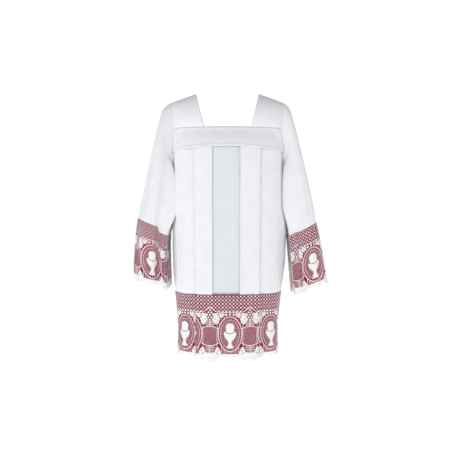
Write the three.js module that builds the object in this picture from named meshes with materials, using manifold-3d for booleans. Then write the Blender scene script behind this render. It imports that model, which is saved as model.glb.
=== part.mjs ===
// Surplice: a white, knee-length church vestment with a square neck, a chest
// yoke, pressed box pleats, wide set-in sleeves and guipure lace over a
// wine-red lining at hem and cuffs. It keeps the hollow form it has when worn.
// Units are millimetres. +Z is up, the front faces -Y, and +X is the wearer's
// left. The origin lies between the shoulder seams, where the wearer carries it.
import * as THREE from "three";
import { mergeVertices } from "three/addons/utils/BufferGeometryUtils.js";
import Module from "manifold-3d";

const wasm = await Module();
wasm.setup();

// ---------------------------------------------------------------- dimensions
const CLOTH = 1.0; // wall of the pleated cloth and of the linings
const DOUBLE_CLOTH = 1.4; // wall of the yokes, shoulders and sleeves
const LACE = 1.0; // wall of the lace
const SEAM = 0.3; // gap between two sewn pieces
const LACE_LIFT = CLOTH / 2 + SEAM + LACE / 2; // lace mid-surface over lining

const NECK_HALF_CHEST = 83; // half width of the square neck at the chest
const NECK_HALF_TOP = 116; // half width of the neck on the shoulder
const YOKE_TOP = -134; // seam of yoke and shoulders, the neck's lower edge
const YOKE_BOTTOM = -207; // seam of yoke and pleated panel, at the centre
const YOKE_SAG = 14; // how much lower that seam hangs at SAG_AT from the centre
const SAG_AT = 200;
const HEM_SEAM = -721; // white cloth ends, lace and lining begin

// Armhole: an upright superellipse in the Y-Z plane.
const ARMHOLE = { top: -30, bottom: -305, half: 52, power: 2.5 };
const SHOULDER_END = 200; // shoulder seam's end, half distance from the centre

// A pressed fold lies in three layers: base, return and face.
const FOLD_RETURN = 3.9; // base layer to return layer
const FOLD_FACE = 1.3; // return layer to face
const FACE = FOLD_RETURN + FOLD_FACE; // how far a pleat's face stands forward

// The body's cross sections: half width on the wearer's right (-X) and left,
// half depth at front and back, and the power of the superellipse.
const BODY = [
  { z: -134, right: 210, left: 211, front: 96, back: 96, power: 2.6 },
  { z: -175, right: 205, left: 207, front: 108, back: 104, power: 2.6 },
  { z: -215, right: 201, left: 205, front: 116, back: 110, power: 2.6 },
  { z: -300, right: 200, left: 209, front: 122, back: 116, power: 2.6 },
  { z: -400, right: 201, left: 213, front: 126, back: 122, power: 2.6 },
  { z: -520, right: 201, left: 215, front: 131, back: 128, power: 2.6 },
  { z: -620, right: 199, left: 210, front: 134, back: 132, power: 2.6 },
  { z: -680, right: 196, left: 203, front: 136, back: 134, power: 2.6 },
  { z: -721, right: 191, left: 196, front: 137, back: 136, power: 2.6 },
  { z: -780, right: 185, left: 189, front: 138, back: 137, power: 2.6 },
  { z: -850, right: 181, left: 184, front: 139, back: 138, power: 2.6 },
  { z: -960, right: 182, left: 185, front: 141, back: 140, power: 2.6 },
];

// Pressed folds: distance from the centre at yoke and at hem, how far the
// cloth runs back under the pleat, in white cloth and in lace, and how far the
// pair of folds is off the centre.
const FOLDS = {
  outer: { yoke: 186, hem: 172, lap: 36, laceRight: 36, laceLeft: 36, shift: 0 },
  box: { yoke: 115, hem: 108, lap: 34, laceRight: 50, laceLeft: 58, shift: 0 },
  inner: { yoke: 50, hem: 48, lap: 9, shift: -4 },
};
const DROP_CLEAR = 5; // the cloth is down on the base this far before a box pleat

// Sleeve sections: outer and inner point in the X-Z plane, as distances from
// the centre of the body, and half depth from front to back.
const SLEEVE_RIGHT = [
  { outX: 200, outZ: -30, inX: 200, inZ: -305, depth: 52 },
  { outX: 222, outZ: -42, inX: 204, inZ: -312, depth: 60 },
  { outX: 241, outZ: -66, inX: 205, inZ: -319, depth: 67 },
  { outX: 251, outZ: -102, inX: 206, inZ: -328, depth: 74 },
  { outX: 262, outZ: -146, inX: 206, inZ: -340, depth: 80 },
  { outX: 275, outZ: -205, inX: 206, inZ: -358, depth: 86 },
  { outX: 290, outZ: -275, inX: 206, inZ: -386, depth: 91 },
  { outX: 304, outZ: -345, inX: 206, inZ: -422, depth: 95 },
  { outX: 317, outZ: -403, inX: 206, inZ: -459, depth: 98 },
  { outX: 327, outZ: -455, inX: 206, inZ: -503, depth: 100 },
  { outX: 336, outZ: -526, inX: 206, inZ: -573, depth: 101 },
  { outX: 341, outZ: -598, inX: 205, inZ: -642, depth: 102 },
  { outX: 345, outZ: -670, inX: 204, inZ: -711, depth: 103 },
];
const SLEEVE_LEFT = [
  { outX: 200, outZ: -30, inX: 209, inZ: -305, depth: 52 },
  { outX: 219, outZ: -43, inX: 214, inZ: -312, depth: 60 },
  { outX: 234, outZ: -69, inX: 216, inZ: -319, depth: 67 },
  { outX: 244, outZ: -106, inX: 218, inZ: -328, depth: 74 },
  { outX: 255, outZ: -149, inX: 219, inZ: -340, depth: 80 },
  { outX: 268, outZ: -205, inX: 220, inZ: -358, depth: 86 },
  { outX: 284, outZ: -275, inX: 220, inZ: -386, depth: 91 },
  { outX: 299, outZ: -345, inX: 220, inZ: -422, depth: 95 },
  { outX: 312, outZ: -410, inX: 220, inZ: -467, depth: 98 },
  { outX: 322, outZ: -470, inX: 220, inZ: -523, depth: 100 },
  { outX: 338, outZ: -541, inX: 221, inZ: -593, depth: 101 },
  { outX: 351, outZ: -614, inX: 224, inZ: -663, depth: 102 },
  { outX: 363, outZ: -686, inX: 227, inZ: -732, depth: 103 },
];
const SLEEVE_POWER = 2.5;
const SLEEVE_SHIFT = -4; // the sleeve's middle lies this far to the front
const SLEEVE_COLUMNS = 28;
const FINE_COLUMNS = 360; // columns that measure the way round a cuff
const CUFF_ROW = 9; // section where lace and lining begin
const CUFF_END_ROW = 12;
const CUFF_LENGTH = 227; // from that section to the last one

// Long soft folds of the sleeves: degrees round the section from its outer
// point over the front, half width in degrees, and depth at the cuff.
const SLEEVE_FOLDS_RIGHT = [
  { at: 48, width: 22, depth: -5 },
  { at: 80, width: 20, depth: 4 },
  { at: 118, width: 22, depth: -11 },
  { at: 238, width: 26, depth: -9 },
  { at: 300, width: 26, depth: -6 },
];
const SLEEVE_FOLDS_LEFT = [
  { at: 46, width: 26, depth: 4 },
  { at: 88, width: 24, depth: -4 },
  { at: 124, width: 26, depth: -12 },
  { at: 240, width: 26, depth: -9 },
  { at: 304, width: 26, depth: -6 },
];

// Lace: one repeat is a medallion with half a vine column on each side.
const PITCH = 138; // width of one repeat
// The lower edge's distances below the seam, and half a medallion's scallop.
const SCALLOP = { cusp: 203, medallion: 215, vine: 231, half: 33 };
const STATION = PITCH / 10; // spacing of the wall's columns along the lace
const LINING_LENGTH = 200; // the lining ends above the scallops
const LACE_ROWS = [SEAM / 2, LINING_LENGTH]; // rows of lining and lace below the seam
const CUTTER_HALF = 3; // a cutter's reach to each side, past a layer folded behind
const FOLD_CLEAR = 8; // no gap is cut this near a fold
const LACE_START = 1; // a cuff lace starts this far below the seam
// The largest gaps of one half repeat, mirrored to the other half: centre from
// the medallion's axis and below the seam, half sizes, and lean in degrees.
const GAPS = [
  { across: 26, down: 105, wide: 4, high: 9, lean: 20 },
  { across: 31, down: 137, wide: 4, high: 10, lean: 0 },
  { across: 22, down: 169, wide: 4.4, high: 8, lean: -30 },
  { across: 52, down: 188, wide: 4.5, high: 5.5, lean: 20 },
];
const HEM_AXIS = { front: 9, back: -12 }; // X of the middle medallion
const CUFF_REPEATS = 4;
const CUFF_AXIS = { right: 98, left: 80 }; // degrees from the outer point

const RING_STEPS = 120; // steps of one half of a body section
const MERGE = 1e-3; // points this close are one
const SLIVER = 0.02; // a cut leaves no edge shorter than this

const COLOURS = { white: 0xeef0f3, red: 0x8e1f3f, thread: 0xf4f1f2 };

// ------------------------------------------------------------------- helpers
const lerp = THREE.MathUtils.lerp;
const clamp01 = (t) => THREE.MathUtils.clamp(t, 0, 1);
const smooth = (t) => clamp01(t) ** 2 * (3 - 2 * clamp01(t));
const radians = THREE.MathUtils.degToRad;

/** Signed power, which draws a superellipse from sine and cosine. */
const curl = (v, power) => Math.sign(v) * Math.abs(v) ** (2 / power);

/** Smooth value of a table's column at a fractional row. */
function column(table, name, row) {
  const i = Math.min(table.length - 2, Math.max(0, Math.floor(row)));
  const t = row - i;
  const [a, b, c, d] = [i - 1, i, i + 1, i + 2].map(
    (k) => table[Math.min(table.length - 1, Math.max(0, k))][name],
  );
  const bend = 2 * a - 5 * b + 4 * c - d + t * (3 * (b - c) + d - a);
  return b + 0.5 * t * (c - a + t * bend);
}

/** The body's section at a height. */
function section(z) {
  let i = BODY.findIndex((row) => row.z <= z);
  i = i < 0 ? BODY.length - 1 : Math.max(1, i);
  const row = i - 1 + (z - BODY[i - 1].z) / (BODY[i].z - BODY[i - 1].z);
  const read = (name) => column(BODY, name, row);
  return {
    right: read("right"),
    left: read("left"),
    front: read("front"),
    back: read("back"),
    power: read("power"),
  };
}

/** Front (face -1) or back (face 1) half of the body's ring, from -X to +X. */
class HalfRing {
  constructor(z, face) {
    const s = section(z);
    const deep = face < 0 ? s.front : s.back;
    this.face = face;
    this.points = [];
    this.along = [0];
    for (let k = 0; k <= RING_STEPS; k++) {
      const a = Math.PI * (1 - k / RING_STEPS);
      const c = curl(Math.cos(a), s.power);
      const x = c * (c < 0 ? s.right : s.left);
      const p = new THREE.Vector2(x, face * deep * curl(Math.sin(a), s.power));
      if (k) this.along.push(this.along[k - 1] + p.distanceTo(this.points[k - 1]));
      this.points.push(p);
    }
    this.length = this.along[RING_STEPS];
    this.normals = this.points.map((_, k) => {
      const a = this.points[Math.max(0, k - 1)];
      const b = this.points[Math.min(RING_STEPS, k + 1)];
      return new THREE.Vector2(b.y - a.y, a.x - b.x).multiplyScalar(-face).normalize();
    });
  }

  /** Arc length at which the ring reaches X. */
  atX(x) {
    let k = 1;
    while (k < this.points.length - 1 && this.points[k].x < x) k++;
    const [a, b] = [this.points[k - 1].x, this.points[k].x];
    return lerp(this.along[k - 1], this.along[k], clamp01((x - a) / (b - a)));
  }

  /** Point at arc length s, moved out from the ring by depth. */
  point(s, depth) {
    let k = 1;
    while (k < this.along.length - 1 && this.along[k] < s) k++;
    const t = (s - this.along[k - 1]) / (this.along[k] - this.along[k - 1]);
    const between = (list) => new THREE.Vector2().lerpVectors(list[k - 1], list[k], t);
    return between(this.points).addScaledVector(between(this.normals).normalize(), depth);
  }
}

/** Half depth of the armhole at a height, 0 below the armpit. */
function armholeHalf(z) {
  const half = (ARMHOLE.top - ARMHOLE.bottom) / 2;
  const off = Math.abs(z - (ARMHOLE.top + ARMHOLE.bottom) / 2) / half;
  return off >= 1 ? 0 : ARMHOLE.half * (1 - off ** ARMHOLE.power) ** (1 / ARMHOLE.power);
}

/** Half width of the body at a height z and distance y from the X axis. */
function bodyX(z, y, side) {
  const s = section(z);
  const wide = side < 0 ? s.right : s.left;
  const deep = y < 0 ? s.front : s.back;
  return wide * (1 - clamp01(Math.abs(y) / deep) ** s.power) ** (1 / s.power);
}

/** Point of the armhole's seam at an angle from its top over the front. */
function armhole(side, angle) {
  const y = -ARMHOLE.half * curl(Math.sin(angle), ARMHOLE.power);
  const middle = (ARMHOLE.top + ARMHOLE.bottom) / 2;
  const z = middle + (ARMHOLE.top - middle) * curl(Math.cos(angle), ARMHOLE.power);
  const rise = clamp01((z - YOKE_TOP) / (ARMHOLE.top - YOKE_TOP));
  const x = lerp(bodyX(Math.min(z, YOKE_TOP), y, side), SHOULDER_END, rise);
  return new THREE.Vector3(side * x, y, z);
}

/** Closed body between two grids of points; ring joins each row's ends. */
function wall(outer, inner, ring = false) {
  const rows = outer.length;
  const columns = outer[0].length;
  const positions = [...outer.flat(), ...inner.flat()].flatMap((p) => p.toArray());
  const faces = [];
  const id = (layer, j, i) => layer * rows * columns + j * columns + (i % columns);
  const quad = (a, b, c, d) => faces.push(a, b, c, a, c, d);
  const spans = ring ? columns : columns - 1;
  for (let i = 0; i < spans; i++) {
    for (let j = 0; j < rows - 1; j++) {
      quad(id(0, j, i), id(0, j + 1, i), id(0, j + 1, i + 1), id(0, j, i + 1));
      quad(id(1, j, i), id(1, j, i + 1), id(1, j + 1, i + 1), id(1, j + 1, i));
    }
    const end = rows - 1;
    quad(id(0, 0, i), id(0, 0, i + 1), id(1, 0, i + 1), id(1, 0, i));
    quad(id(0, end, i), id(1, end, i), id(1, end, i + 1), id(0, end, i + 1));
  }
  for (let j = 0; j < rows - 1 && !ring; j++) {
    const end = columns - 1;
    quad(id(0, j, 0), id(1, j, 0), id(1, j + 1, 0), id(0, j + 1, 0));
    quad(id(0, j, end), id(0, j + 1, end), id(1, j + 1, end), id(1, j, end));
  }
  const geometry = new THREE.BufferGeometry();
  geometry.setAttribute("position", new THREE.Float32BufferAttribute(positions, 3));
  geometry.setIndex(faces);
  return geometry;
}

/** Unit normals of a grid of points, from its neighbours. */
function gridNormals(grid, ring) {
  const rows = grid.length;
  const columns = grid[0].length;
  const near = (i) => (ring ? (i + columns) % columns : Math.min(columns - 1, Math.max(0, i)));
  return grid.map((row, j) =>
    row.map((_, i) => {
      const down = new THREE.Vector3().subVectors(
        grid[Math.min(rows - 1, j + 1)][i],
        grid[Math.max(0, j - 1)][i],
      );
      const over = new THREE.Vector3().subVectors(row[near(i + 1)], row[near(i - 1)]);
      return down.cross(over).normalize();
    }),
  );
}

/** A grid's points, moved along their normals. */
const moved = (grid, normals, by) =>
  grid.map((row, j) => row.map((p, i) => p.clone().addScaledVector(normals[j][i], by)));

/** Wall of a given thickness round a grid of points with outward normals. */
function thicken(grid, outward, thickness, ring = false) {
  const layers = [thickness / 2, -thickness / 2].map((by) => moved(grid, outward, by));
  const facing = gridNormals(grid, ring)[1][1].dot(outward[1][1]);
  return wall(...(facing > 0 ? layers : layers.toReversed()), ring);
}

function toManifold(geometry) {
  const bare = geometry.clone();
  bare.deleteAttribute("normal");
  bare.deleteAttribute("uv");
  const merged = mergeVertices(bare, MERGE);
  return new wasm.Manifold(
    new wasm.Mesh({
      numProp: 3,
      vertProperties: new Float32Array(merged.getAttribute("position").array),
      triVerts: new Uint32Array(merged.index.array),
    }),
  );
}

function toGeometry(solid) {
  const mesh = solid.setTolerance(SLIVER).getMesh();
  const points = [];
  for (let i = 0; i < mesh.numVert; i++)
    points.push(...mesh.vertProperties.subarray(i * mesh.numProp, i * mesh.numProp + 3));
  const geometry = new THREE.BufferGeometry();
  geometry.setAttribute("position", new THREE.Float32BufferAttribute(points, 3));
  geometry.setIndex([...mesh.triVerts]);
  return geometry;
}

const cloth = (color) =>
  new THREE.MeshStandardMaterial({ color, roughness: 0.85, metalness: 0 });
const materials = {
  white: cloth(COLOURS.white),
  red: cloth(COLOURS.red),
  thread: cloth(COLOURS.thread),
};

const surplice = new THREE.Group();

function add(name, geometry, material) {
  const mesh = new THREE.Mesh(geometry, material);
  mesh.name = name;
  surplice.add(mesh);
}

// -------------------------------------------------------------- pleated path
// A stop of the cloth's path lies at arc length s on the ring and at a depth out
// from it. (ns, nd) points from the cloth to its right side.
const stop = (s, depth, ns, nd) => ({ s, depth, ns, nd });

/**
 * Cloth that comes along the base layer, turns back under a pleat for a length
 * lap and comes out on the pleat's face at s. The three layers share columns.
 */
function foldUp(s, lap, step) {
  const steps = Math.max(1, Math.round(lap / step));
  const layer = (depth, nd) =>
    Array.from({ length: steps + 1 }, (_, k) => stop(s + (lap * k) / steps, depth, 0, nd));
  return [
    ...layer(0, 1),
    stop(s + lap + FOLD_RETURN / 2, FOLD_RETURN / 2, -1, 0),
    ...layer(FOLD_RETURN, -1).reverse(),
    stop(s - FOLD_FACE / 2, FOLD_RETURN + FOLD_FACE / 2, -1, 0),
    ...layer(FACE, 1),
  ];
}

/** The mirror of foldUp: cloth leaves the face at s and ends on the base. */
const foldDown = (s, lap, step) =>
  foldUp(0, lap, step)
    .reverse()
    .map((p) => stop(s - p.s, p.depth, -p.ns, p.nd));

/** Cloth strictly between two stops, in equal steps. */
function span(from, to, steps) {
  const between = [];
  for (let k = 1; k < steps; k++) {
    const t = k / steps;
    between.push(stop(lerp(from.s, to.s, t), lerp(from.depth, to.depth, t), 0, 1));
  }
  return between;
}

/** Arc length of a fold on the ring; side is -1 or 1. */
function foldAt(ring, fold, side, z) {
  const down = clamp01((YOKE_BOTTOM - z) / (YOKE_BOTTOM - HEM_SEAM));
  return ring.atX(side * lerp(fold.yoke, fold.hem, down) + fold.shift);
}

/**
 * The cloth's path round one half of the body at height z, from start to end.
 * steps gives the steps beside and between the folds and the columns' spacing
 * in a fold. Lace and its lining have no inner folds.
 */
function pleatedPath(ring, z, start, end, steps, lacy) {
  const { outer, box, inner } = FOLDS;
  const lap = (fold, side) => (lacy ? fold[side < 0 ? "laceRight" : "laceLeft"] : fold.lap);
  const at = (fold, side) => foldAt(ring, fold, side, z);
  const up = (fold) => foldUp(at(fold, -1), lap(fold, -1), steps.fold);
  const down = (fold) => foldDown(at(fold, 1), lap(fold, 1), steps.fold);
  // Beyond the outer fold's lap, the face drops to the base layer.
  const drop = (side) => [
    stop(at(outer, side) - side * (lap(outer, side) + FACE), FACE, 0, 1),
    stop(at(box, side) + side * DROP_CLEAR, 0, 0, 1),
  ];
  const innerFolds = [
    foldDown(at(inner, -1), inner.lap, steps.fold),
    foldUp(at(inner, 1), inner.lap, steps.fold),
  ];
  const parts = [
    up(outer),
    drop(-1),
    up(box),
    ...(lacy ? [] : innerFolds),
    down(box),
    drop(1).toReversed(),
    down(outer),
    [stop(end, 0, 0, 1)],
  ];
  const middle = lacy ? [steps.centre] : [steps.face, steps.centre, steps.face];
  const counts = [steps.side, 1, 1, ...middle, 1, 1, steps.side];
  const path = [stop(start, 0, 0, 1)];
  parts.forEach((part, k) => path.push(...span(path.at(-1), part[0], counts[k]), ...part));
  return path;
}

/** Point of a path at a distance from the cloth's middle, at height z. */
function pathPoint(ring, p, offset, z) {
  const xy = ring.point(p.s + p.ns * offset, p.depth + p.nd * offset);
  return new THREE.Vector3(xy.x, xy.y, z);
}

/** Wall along rows of one path each; height gives a point's own height. */
function pathWall(rows, lift, thickness, height) {
  const layer = (offset) =>
    rows.map(({ ring, path }, j) =>
      path.map((p, i) => {
        const flat = pathPoint(ring, p, lift + offset, 0);
        return flat.setZ(height(j, i, flat.x));
      }),
    );
  const [front, behind] = [layer(thickness / 2), layer(-thickness / 2)];
  return rows[0].ring.face < 0 ? wall(front, behind) : wall(behind, front);
}

// ------------------------------------------------------------ white body
const PANEL_ROWS = [YOKE_BOTTOM - SEAM, -262, -305, -520, HEM_SEAM + SEAM / 2];
const PANEL_STEPS = { side: 3, face: 1, centre: 4, fold: 18 };
const FACES = [
  { name: "front", face: -1 },
  { name: "back", face: 1 },
];
const SIDES = [
  { name: "right", side: -1, sections: SLEEVE_RIGHT, folds: SLEEVE_FOLDS_RIGHT },
  { name: "left", side: 1, sections: SLEEVE_LEFT, folds: SLEEVE_FOLDS_LEFT },
];

/** How far the yoke's lower seam hangs below its height at the centre. */
const sag = (x) => YOKE_SAG * (x / SAG_AT) ** 2;

/** Start and end of one half of the body on its ring, at the armholes. */
function halfEnds(ring, z) {
  const y = ring.face * armholeHalf(z);
  if (!y) return [SEAM / 2, ring.length - SEAM / 2];
  return [
    ring.atX(-bodyX(z, y, -1)) + SEAM / 2,
    ring.atX(bodyX(z, y, 1)) - SEAM / 2,
  ];
}

/** Pleated panel from the yoke down to the hem's lace. */
function panel({ name, face }) {
  const rows = PANEL_ROWS.map((z) => {
    const ring = new HalfRing(z, face);
    const [start, end] = halfEnds(ring, z);
    return { ring, path: pleatedPath(ring, z, start, end, PANEL_STEPS, false) };
  });
  const height = (j, i, x) => PANEL_ROWS[j] - (j === 0 ? sag(x) : 0);
  add(`${name}_panel`, pathWall(rows, 0, CLOTH, height), materials.white);
}

/** Plain yoke band across the chest or the upper back. */
function yoke({ name, face }) {
  const heights = [YOKE_TOP - SEAM / 2, (YOKE_TOP + YOKE_BOTTOM) / 2, YOKE_BOTTOM];
  const steps = 24;
  const grid = heights.map((z, j) => {
    const ring = new HalfRing(z, face);
    const [start, end] = halfEnds(ring, z);
    return Array.from({ length: steps + 1 }, (_, k) => {
      const lift = FACE * smooth(j / (heights.length - 1));
      const p = pathPoint(ring, stop(lerp(start, end, k / steps), lift, 0, 1), 0, z);
      return p.setZ(z - (j === heights.length - 1 ? sag(p.x) : 0));
    });
  });
  const outward = gridNormals(grid, false).map((row) =>
    row.map((n) => n.setZ(0).normalize().multiplyScalar(-face)),
  );
  add(`${name}_yoke`, thicken(grid, outward, DOUBLE_CLOTH), materials.white);
}

/** Shoulder piece from the front yoke over the shoulder to the back yoke. */
function shoulder({ name, side }) {
  const rows = 13;
  const columns = 6;
  const middle = (ARMHOLE.top + ARMHOLE.bottom) / 2;
  const share = (YOKE_TOP - middle) / (ARMHOLE.top - middle);
  const seamAngle = Math.acos(share ** (ARMHOLE.power / 2));
  const grid = [];
  for (let j = 0; j < rows; j++) {
    const v = j / (rows - 1);
    const turn = Math.PI * v;
    const face = v < 0.5 ? -1 : 1;
    const ring = new HalfRing(YOKE_TOP, face);
    const chest = ring.point(ring.atX(side * NECK_HALF_CHEST), 0);
    const rise = Math.sin(turn);
    const neck = new THREE.Vector3(
      side * lerp(NECK_HALF_CHEST, NECK_HALF_TOP, rise),
      chest.y * Math.abs(Math.cos(turn)),
      YOKE_TOP * (1 - rise),
    );
    const arm = armhole(side, seamAngle * (1 - 2 * v));
    const seam = armhole(side, seamAngle * -face);
    const row = [];
    for (let i = 0; i < columns; i++) {
      const u = i / (columns - 1);
      const p = new THREE.Vector3().lerpVectors(neck, arm, u);
      const s = lerp(ring.atX(side * NECK_HALF_CHEST), ring.atX(seam.x), u);
      const straight = new THREE.Vector2().lerpVectors(chest, new THREE.Vector2(seam.x, seam.y), u);
      const bulge = ring.point(s, 0).sub(straight).multiplyScalar(Math.cos(turn) ** 2);
      row.push(p.add(new THREE.Vector3(bulge.x, bulge.y, 0)));
    }
    grid.push(side < 0 ? row : row.toReversed());
  }
  const outward = gridNormals(grid, false).map((points) => points.map((n) => n.negate()));
  for (const j of [0, rows - 1]) {
    outward[j].forEach((n) => n.setZ(0).normalize());
    grid[j].forEach((p) => p.setZ(p.z + SEAM / 2));
  }
  add(`shoulder_${name}`, thicken(grid, outward, DOUBLE_CLOTH), materials.white);
}

// ------------------------------------------------------------------- sleeves
/** Point of a sleeve at a fractional row and an angle from its outer point. */
function sleevePoint({ side, sections, folds }, row, angle) {
  const read = (name) => column(sections, name, row);
  const out = new THREE.Vector3(read("outX"), 0, read("outZ"));
  const inner = new THREE.Vector3(read("inX"), 0, read("inZ"));
  const middle = new THREE.Vector3().addVectors(out, inner).multiplyScalar(0.5);
  const arm = new THREE.Vector3().subVectors(out, middle);
  const degrees = THREE.MathUtils.radToDeg(angle);
  const grow = smooth(row / CUFF_ROW);
  let fold = 0;
  for (const f of folds) {
    const off = Math.abs(((degrees - f.at + 540) % 360) - 180) / f.width;
    if (off < 1) fold += (f.depth * grow * (1 + Math.cos(Math.PI * off))) / 2;
  }
  const c = curl(Math.cos(angle), SLEEVE_POWER);
  const s = curl(Math.sin(angle), SLEEVE_POWER);
  const p = middle.addScaledVector(arm, c * (1 + fold / arm.length()));
  p.y = -s * (read("depth") + fold) + SLEEVE_SHIFT * grow;
  return p.setX(side * p.x);
}

const turns = (count) =>
  Array.from({ length: count }, (_, k) => (2 * Math.PI * k) / count);

/** White sleeve from the armhole to the cuff's lace. */
function sleeve(arm) {
  const angles = turns(SLEEVE_COLUMNS);
  const rows = Array.from({ length: CUFF_ROW }, (_, k) => k);
  rows.push(CUFF_ROW - (SEAM / 2) * ((CUFF_END_ROW - CUFF_ROW) / CUFF_LENGTH));
  const grid = rows.map((row) => angles.map((angle) => sleevePoint(arm, row, angle)));
  grid[0] = angles.map((angle) => {
    const seam = armhole(arm.side, angle);
    return seam.setX(seam.x + arm.side * (SEAM + CLOTH));
  });
  const outward = gridNormals(grid, true);
  if (arm.side > 0) outward.flat().forEach((n) => n.negate());
  outward[CUFF_ROW] = angles.map((angle) => sleeveFrame(arm, rows[CUFF_ROW], angle).out);
  add(`sleeve_${arm.name}`, thicken(grid, outward, DOUBLE_CLOTH, true), materials.white);
}

const cuffRow = (down) => lerp(CUFF_ROW, CUFF_END_ROW, down / CUFF_LENGTH);

/** Directions out of a sleeve and round it at a fractional row and an angle. */
function sleeveFrame(arm, row, angle) {
  const step = 0.05;
  const drop = sleevePoint(arm, row + step, angle).sub(sleevePoint(arm, row - step, angle));
  const over = sleevePoint(arm, row, angle + step).sub(sleevePoint(arm, row, angle - step));
  const out = drop.clone().cross(over).normalize().multiplyScalar(-arm.side);
  // The edge of a section stays in the section's own plane.
  const read = (name) => column(arm.sections, name, row);
  const across = new THREE.Vector3(read("outX") - read("inX"), 0, read("outZ") - read("inZ"));
  const axis = new THREE.Vector3(arm.side * across.z, 0, -across.x).normalize();
  out.addScaledVector(axis, -out.dot(axis)).normalize();
  return { out, over: over.normalize() };
}

/** Distances round a cuff at its middle, and angles at equal stations. */
function cuffStations(arm) {
  const row = (CUFF_ROW + CUFF_END_ROW) / 2;
  const fine = turns(FINE_COLUMNS).map((a) => sleevePoint(arm, row, a));
  const along = [0];
  fine.forEach((p, i) => along.push(along[i] + p.distanceTo(fine[(i + 1) % fine.length])));
  const angleAt = (s) => {
    const k = Math.max(1, along.findIndex((a) => a >= s - MERGE));
    const column = k - 1 + (s - along[k - 1]) / (along[k] - along[k - 1]);
    return (column * 2 * Math.PI) / FINE_COLUMNS;
  };
  const count = Math.round((CUFF_REPEATS * PITCH) / STATION / 2);
  const half = (from, to) =>
    Array.from({ length: count + 1 }, (_, i) => lerp(along[from], along[to], i / count));
  const middle = FINE_COLUMNS / 2;
  return { along, angleAt, front: half(0, middle), back: half(middle, FINE_COLUMNS) };
}

/** Wall over a cuff at distances below its seam; lift moves it out. */
function cuffWall(arm, downs, angles, ring, lift, thickness) {
  const layer = (by) =>
    downs.map((down) =>
      angles.map((angle, i) => {
        const row = cuffRow(typeof down === "number" ? down : down[i]);
        const { out } = sleeveFrame(arm, row, angle);
        return sleevePoint(arm, row, angle).addScaledVector(out, by);
      }),
    );
  const [outer, inside] = [layer(lift + thickness / 2), layer(lift - thickness / 2)];
  return arm.side < 0 ? wall(outer, inside, ring) : wall(inside, outer, ring);
}

function cuffLining(arm) {
  const { front, back, angleAt } = cuffStations(arm);
  const angles = [...front, ...back.slice(1, -1)].map(angleAt);
  const geometry = cuffWall(arm, LACE_ROWS, angles, true, 0, CLOTH);
  add(`cuff_lining_${arm.name}`, geometry, materials.red);
}

// ---------------------------------------------------------------------- lace
/** Height of the lace at a distance from a medallion's axis. */
function scallop(across) {
  const off = Math.abs(((across % PITCH) + PITCH * 1.5) % PITCH - PITCH / 2);
  const [low, from, to] =
    off < SCALLOP.half
      ? [SCALLOP.medallion, -SCALLOP.half, SCALLOP.half]
      : [SCALLOP.vine, SCALLOP.half, PITCH - SCALLOP.half];
  const t = (2 * (off - from)) / (to - from) - 1;
  return lerp(SCALLOP.cusp, low, Math.sqrt(Math.max(0, 1 - t * t)));
}

/** Prism that cuts one gap, lying in the X-Y plane round the origin. */
function gapCutter(gap, mirror) {
  const outline = new THREE.Shape();
  const lean = radians(gap.lean) * mirror;
  const corners = [
    [-1, -1],
    [1, -1],
    [1, 1],
    [-1, 1],
  ].map(([x, y]) => new THREE.Vector2(x * gap.wide, y * gap.high));
  outline.setFromPoints(corners.map((p) => p.rotateAround(new THREE.Vector2(), lean)));
  const cutter = new THREE.ExtrudeGeometry(outline, { depth: 2 * CUTTER_HALF, bevelEnabled: false });
  return cutter.translate(0, 0, -CUTTER_HALF);
}

/**
 * Lace with the gaps of every repeat between two distances along it. place
 * gives a frame matrix on the lace at a distance along and a distance down, or
 * nothing where the lace lies hidden in a fold.
 */
function openGaps(geometry, from, to, place) {
  let solid = toManifold(geometry);
  for (let axis = Math.ceil(from / PITCH - 0.5); axis * PITCH < to + PITCH / 2; axis++) {
    for (const gap of GAPS) {
      for (const mirror of [-1, 1]) {
        const along = axis * PITCH + mirror * gap.across;
        if (along < from + STATION / 2 || along > to - STATION / 2) continue;
        const frame = place(along, gap.down);
        if (!frame) continue;
        solid = solid.subtract(toManifold(gapCutter(gap, mirror).applyMatrix4(frame)));
      }
    }
  }
  return toGeometry(solid);
}

/** Frame at a point, from the directions along the lace and out of it. */
function laceFrame(point, along, out) {
  const up = new THREE.Vector3().crossVectors(out, along).normalize();
  const over = new THREE.Vector3().crossVectors(up, out).normalize();
  return new THREE.Matrix4().makeBasis(over, up, out).setPosition(point);
}

const HEM_STEPS = { side: 2, centre: 7, fold: STATION };

/** Ring and path of lace and lining at a distance below the hem's seam. */
function hemRow(down, face) {
  const ring = new HalfRing(HEM_SEAM - down, face);
  const path = pleatedPath(ring, HEM_SEAM, SEAM / 2, ring.length - SEAM / 2, HEM_STEPS, true);
  return { ring, path };
}

function hemLining({ name, face }) {
  const rows = LACE_ROWS.map((down) => hemRow(down, face));
  const geometry = pathWall(rows, 0, CLOTH, (j) => HEM_SEAM - LACE_ROWS[j]);
  add(`hem_lining_${name}`, geometry, materials.red);
}

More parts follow.
